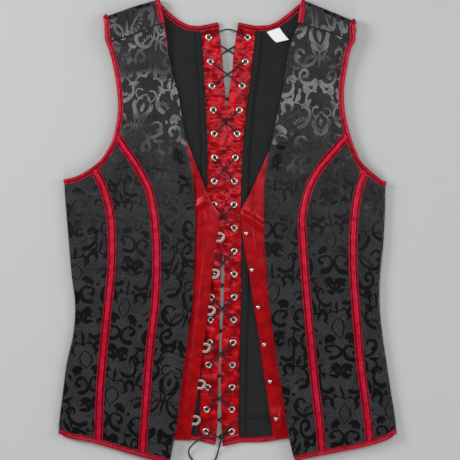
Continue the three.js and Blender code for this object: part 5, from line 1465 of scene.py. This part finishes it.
# Busk loops and knobs
loopSet = {
    "y": (-6.9, -57.3, -108.3, -159.4, -209.8, -259.4),
    "height": 14.0, "reach": 10.0, "band": 3.6, "plate": 1.3,
}
b, p = loopSet["band"] / 2, loopSet["plate"] / 2
loopSection = [
    (-b, -p * 0.4), (-b * 0.8, -p), (b * 0.8, -p), (b, -p * 0.4), (b, p * 0.4), (b * 0.75, p), (-b * 0.75, p),
    (-b, p * 0.4),
]
leftForm, rightForm = built["left"]["form"], built["right"]["form"]
for number, y in enumerate(loopSet["y"], 1):
    legs = (loopSet["height"] - loopSet["band"]) / 2
    reach = loopSet["reach"] - loopSet["band"] / 2 - legs

    def edge(at):
        return -float(leftForm["facingInner"](at)) - 1.0

    z = float(leftForm["facingUnder"](leftForm["facingInner"](y), y)) + cloth["facing"] / 2
    angles = (np.linspace(0, 1, 15)[1:-1] - 0.5) * math.pi
    path = [(edge(y - legs), y - legs), (edge(y) + reach, y - legs)]
    path += [(edge(y) + reach + 1.0 + legs * math.cos(a), y + legs * math.sin(a)) for a in angles]
    path += [(edge(y) + reach, y + legs), (edge(y + legs), y + legs)]
    path = splinePoints(np.array([(px, py, z) for px, py in path]), 3)
    normals = np.tile(up, (len(path), 1))
    name, node = f"steel_loop_{number}", f"busk_loop_{number}"
    sweepPiece(name, path, normals, loopSection, steel, 1, None, [node])

knobSet = {
    "places": [(25.4, -1.8), (33.1, -52.0), (42.0, -103.6), (50.0, -154.7), (58.2, -205.9), (66.1, -257.1)],
    "profile": [
        (0.01, 0), (2.1, 0), (2.15, 0.5), (1.3, 0.9), (1.2, 1.6), (1.4, 2.1), (2.3, 2.5), (2.75, 3.1),
        (2.75, 3.7), (2.3, 4.4), (1.3, 4.85), (0.01, 5.0),
    ],
    "sides": 32, "foot": 0.8,
}
for number, (x, y) in enumerate(knobSet["places"], 1):
    z = float(rightForm["facingUnder"](x, y)) + cloth["facing"] + knobSet["foot"]
    sides = knobSet["sides"]
    rings = lathe(knobSet["profile"], np.array([x, y, z]), up, sides)
    faces = latheFaces(len(knobSet["profile"]), sides, False).tolist()
    last = (len(knobSet["profile"]) - 1) * sides
    faces += [list(range(sides - 1, -1, -1)), list(range(last, last + sides))]
    knob = makePiece(f"steel_knob_{number}", rings.reshape(-1, 3), faces, nickel, 1, sharpFrom=50)
    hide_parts(f"busk_knob_{number}")
print("busk loops and knobs made")

# The lace, from the knot up one strand, over the bow at the top and down the other
laceSet = {
    "radius": 1.0, "restOn": 1.35, "count": 18, "besideHole": 3.8, "inHole": 0.7, "aboveEyelet": 0.6,
    "tiedAt": (-8.5, -282.5), "knotLift": 2.6, "knotRadius": 2.4, "knotSwing": 0.9,
    "knotStretch": (1.15, 0.85),
}
innerEdgeTop = liningBase + lacingRamp + cloth["lacing"]
restOn = laceSet["restOn"]
overLow = innerEdgeTop + restOn
levels = {"underLow": 1.05, "underHigh": 3.4, "overLow": overLow, "overHigh": overLow + 2.3}
knotPlace = np.array([*laceSet["tiedAt"], innerEdgeTop + laceSet["knotLift"]])
eyelets = {label: built[label]["places"] * (half["turn"], 1, 1) for label, half in halves.items()}


def panelUnder(x, y):
    onLeft = x < 0 and -x > leftForm["lacingInner"](y)
    return float(leftForm["lacingUnder"](-x, y) if onLeft else rightForm["lacingUnder"](x, y))


def strand(first, other, isHigh):
    order = [eyelets[other if i % 2 else first][i] for i in range(laceSet["count"])]
    points = []
    for i, here in enumerate(order):
        previous = (here + order[i - 1]) / 2 if i else np.array([-2.0, 283.0, 0.0])
        following = (here + order[i + 1]) / 2 if i < laceSet["count"] - 1 else knotPlace
        arrivesUnder = i % 2 == 1

        def towards(target, above):
            way = (target - here)[:2]
            x, y = here[:2] + laceSet["besideHole"] * way / np.linalg.norm(way)
            under = panelUnder(x, y)
            over = under + cloth["lacing"] + laceSet["aboveEyelet"] + restOn
            return (x, y, over if above else under - restOn)

        inward = here[0] + math.copysign(laceSet["inHole"], -4 - here[0])
        hole = [(inward, here[1], here[2] + 1.0), (inward, here[1], here[2] - cloth["lacing"] - 0.2)]
        through = hole[::-1] if arrivesUnder else hole
        points += [towards(previous, not arrivesUnder), *through, towards(following, arrivesUnder)]
        if i < laceSet["count"] - 1:
            over = "overHigh" if isHigh else "overLow"
            under = "underLow" if isHigh else "underHigh"
            points.append((following[0], following[1], levels[over if i % 2 else under]))
    return points


highStrand, lowStrand = strand("right", "left", True), strand("left", "right", False)
lacePoints = [
    (knotPlace[0] - 4.6, knotPlace[1] - 0.6, knotPlace[2]),
    *highStrand[::-1],
    (0.5, 279.5, overLow + 0.3),
    *lowStrand,
    (knotPlace[0] + 4.6, knotPlace[1] + 1.5, knotPlace[2]),
]


def cordPiece(name, points, node, perSpan=5):
    line = toRow(splinePoints(np.array(points, float), perSpan), 1)
    curve = bpy.data.curves.new(name, "CURVE")
    curve.dimensions = "3D"
    curve.bevel_depth = laceSet["radius"] * mm
    curve.bevel_resolution = 3
    curve.use_fill_caps = True
    spline = curve.splines.new("POLY")
    spline.points.add(len(line) - 1)
    spline.points.foreach_set("co", np.concatenate([line, np.ones((len(line), 1))], 1).ravel())
    spline.use_smooth = True
    curve.materials.append(laceBlack)
    piece = addObject(name, curve)
    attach(piece, "root")
    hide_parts(node)
    return piece, line


cordPiece("black_lace", lacePoints, "lace")

onPanel, onLining = innerEdgeTop + restOn, stripBase + restOn
onStrip = stripBase + cloth["strip"] + restOn
longTail = [
    (-9.4, -286.2, knotPlace[2] - 0.2), (-10.4, -291, knotPlace[2] - 0.9), (-11.6, -297, 5.2),
    (-13.2, -303, 2.0), (-15.0, -309, 1.1), (-18.0, -316.5, 1.1), (-25.0, -323, 1.1), (-34.5, -325, 1.1),
    (-43.5, -321.5, 1.1), (-49.6, -314.5, 1.1), (-53.5, -307.5, 1.8), (-53.6, -301, 4.4),
    (-50.0, -295, 6.6), (-45.5, -290.5, 7.2), (-40.0, -286.8, 7.2), (-34.0, -283.6, 8.2),
    (-28.5, -280.4, 9.7), (-24.0, -276.8, 9.9), (-20.4, -273.0, 8.6), (-17.8, -269.6, onPanel),
]
shortTail = [
    (-6.6, -278.9, knotPlace[2]), (-4.4, -274.8, onPanel), (-0.6, -270.2, onPanel),
    (4.6, -266.1, onPanel), (10.4, -262.2, onPanel - 0.2), (17.0, -258.9, onStrip + 0.3),
    (24.2, -256.6, onStrip), (32.2, -255.3, onLining), (42.0, -255.5, onLining - 0.2),
    (51.5, -256.7, onLining - 0.2), (60.0, -258.3, onLining - 0.2), (66.5, -259.2, onLining - 0.2),
]
for name, route in (("long", longTail), ("short", shortTail)):
    piece, line = cordPiece("lace_end_" + name, route, "lace_tail_" + name)

knotTurns = np.linspace(0, 2 * math.pi, 60)
knotRadius = laceSet["knotRadius"] + laceSet["knotSwing"] * np.cos(3 * knotTurns)
knotX = knotRadius * np.cos(2 * knotTurns) * laceSet["knotStretch"][0]
knotY = knotRadius * np.sin(2 * knotTurns) * laceSet["knotStretch"][1]
knotLine = knotPlace + np.stack([knotX, knotY, laceSet["knotSwing"] * np.sin(3 * knotTurns)], 1)
cordPiece("lace_tied_knot", knotLine, "lace_knot", 1)
print("lace made")

# Care label
labelSet = {  # corners as x, y and lift
    "corners": [(54.0, 276.2, 0), (71.6, 282.2, 0), (84.6, 265.4, 1.6), (67.2, 261.4, 2.2)],
    "columns": 24, "rows": 28, "sag": 2.0, "curl": 0.25,
}
corner = [np.array(place, float) for place in labelSet["corners"]]
u = np.linspace(0, 1, labelSet["columns"] + 1)[None, :]
v = 1 - np.linspace(0, 1, labelSet["rows"] + 1)[:, None]
u3, v3 = u[..., None], v[..., None]
label3 = (corner[0] * (1 - u3) + corner[1] * u3) * (1 - v3) + (corner[3] * (1 - u3) + corner[2] * u3) * v3
label3[..., :2] -= (labelSet["sag"] * v * (1 - v))[..., None]
curl = labelSet["curl"] * np.sin(v * math.pi) * np.cos(u * math.pi)
label3[..., 2] += stripBase + cloth["label"] / 2 + curl
careLabel = clothPiece("white_care_label", label3, cloth["label"], whiteTape, 1)
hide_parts("care_label")
declareSheet(label3)
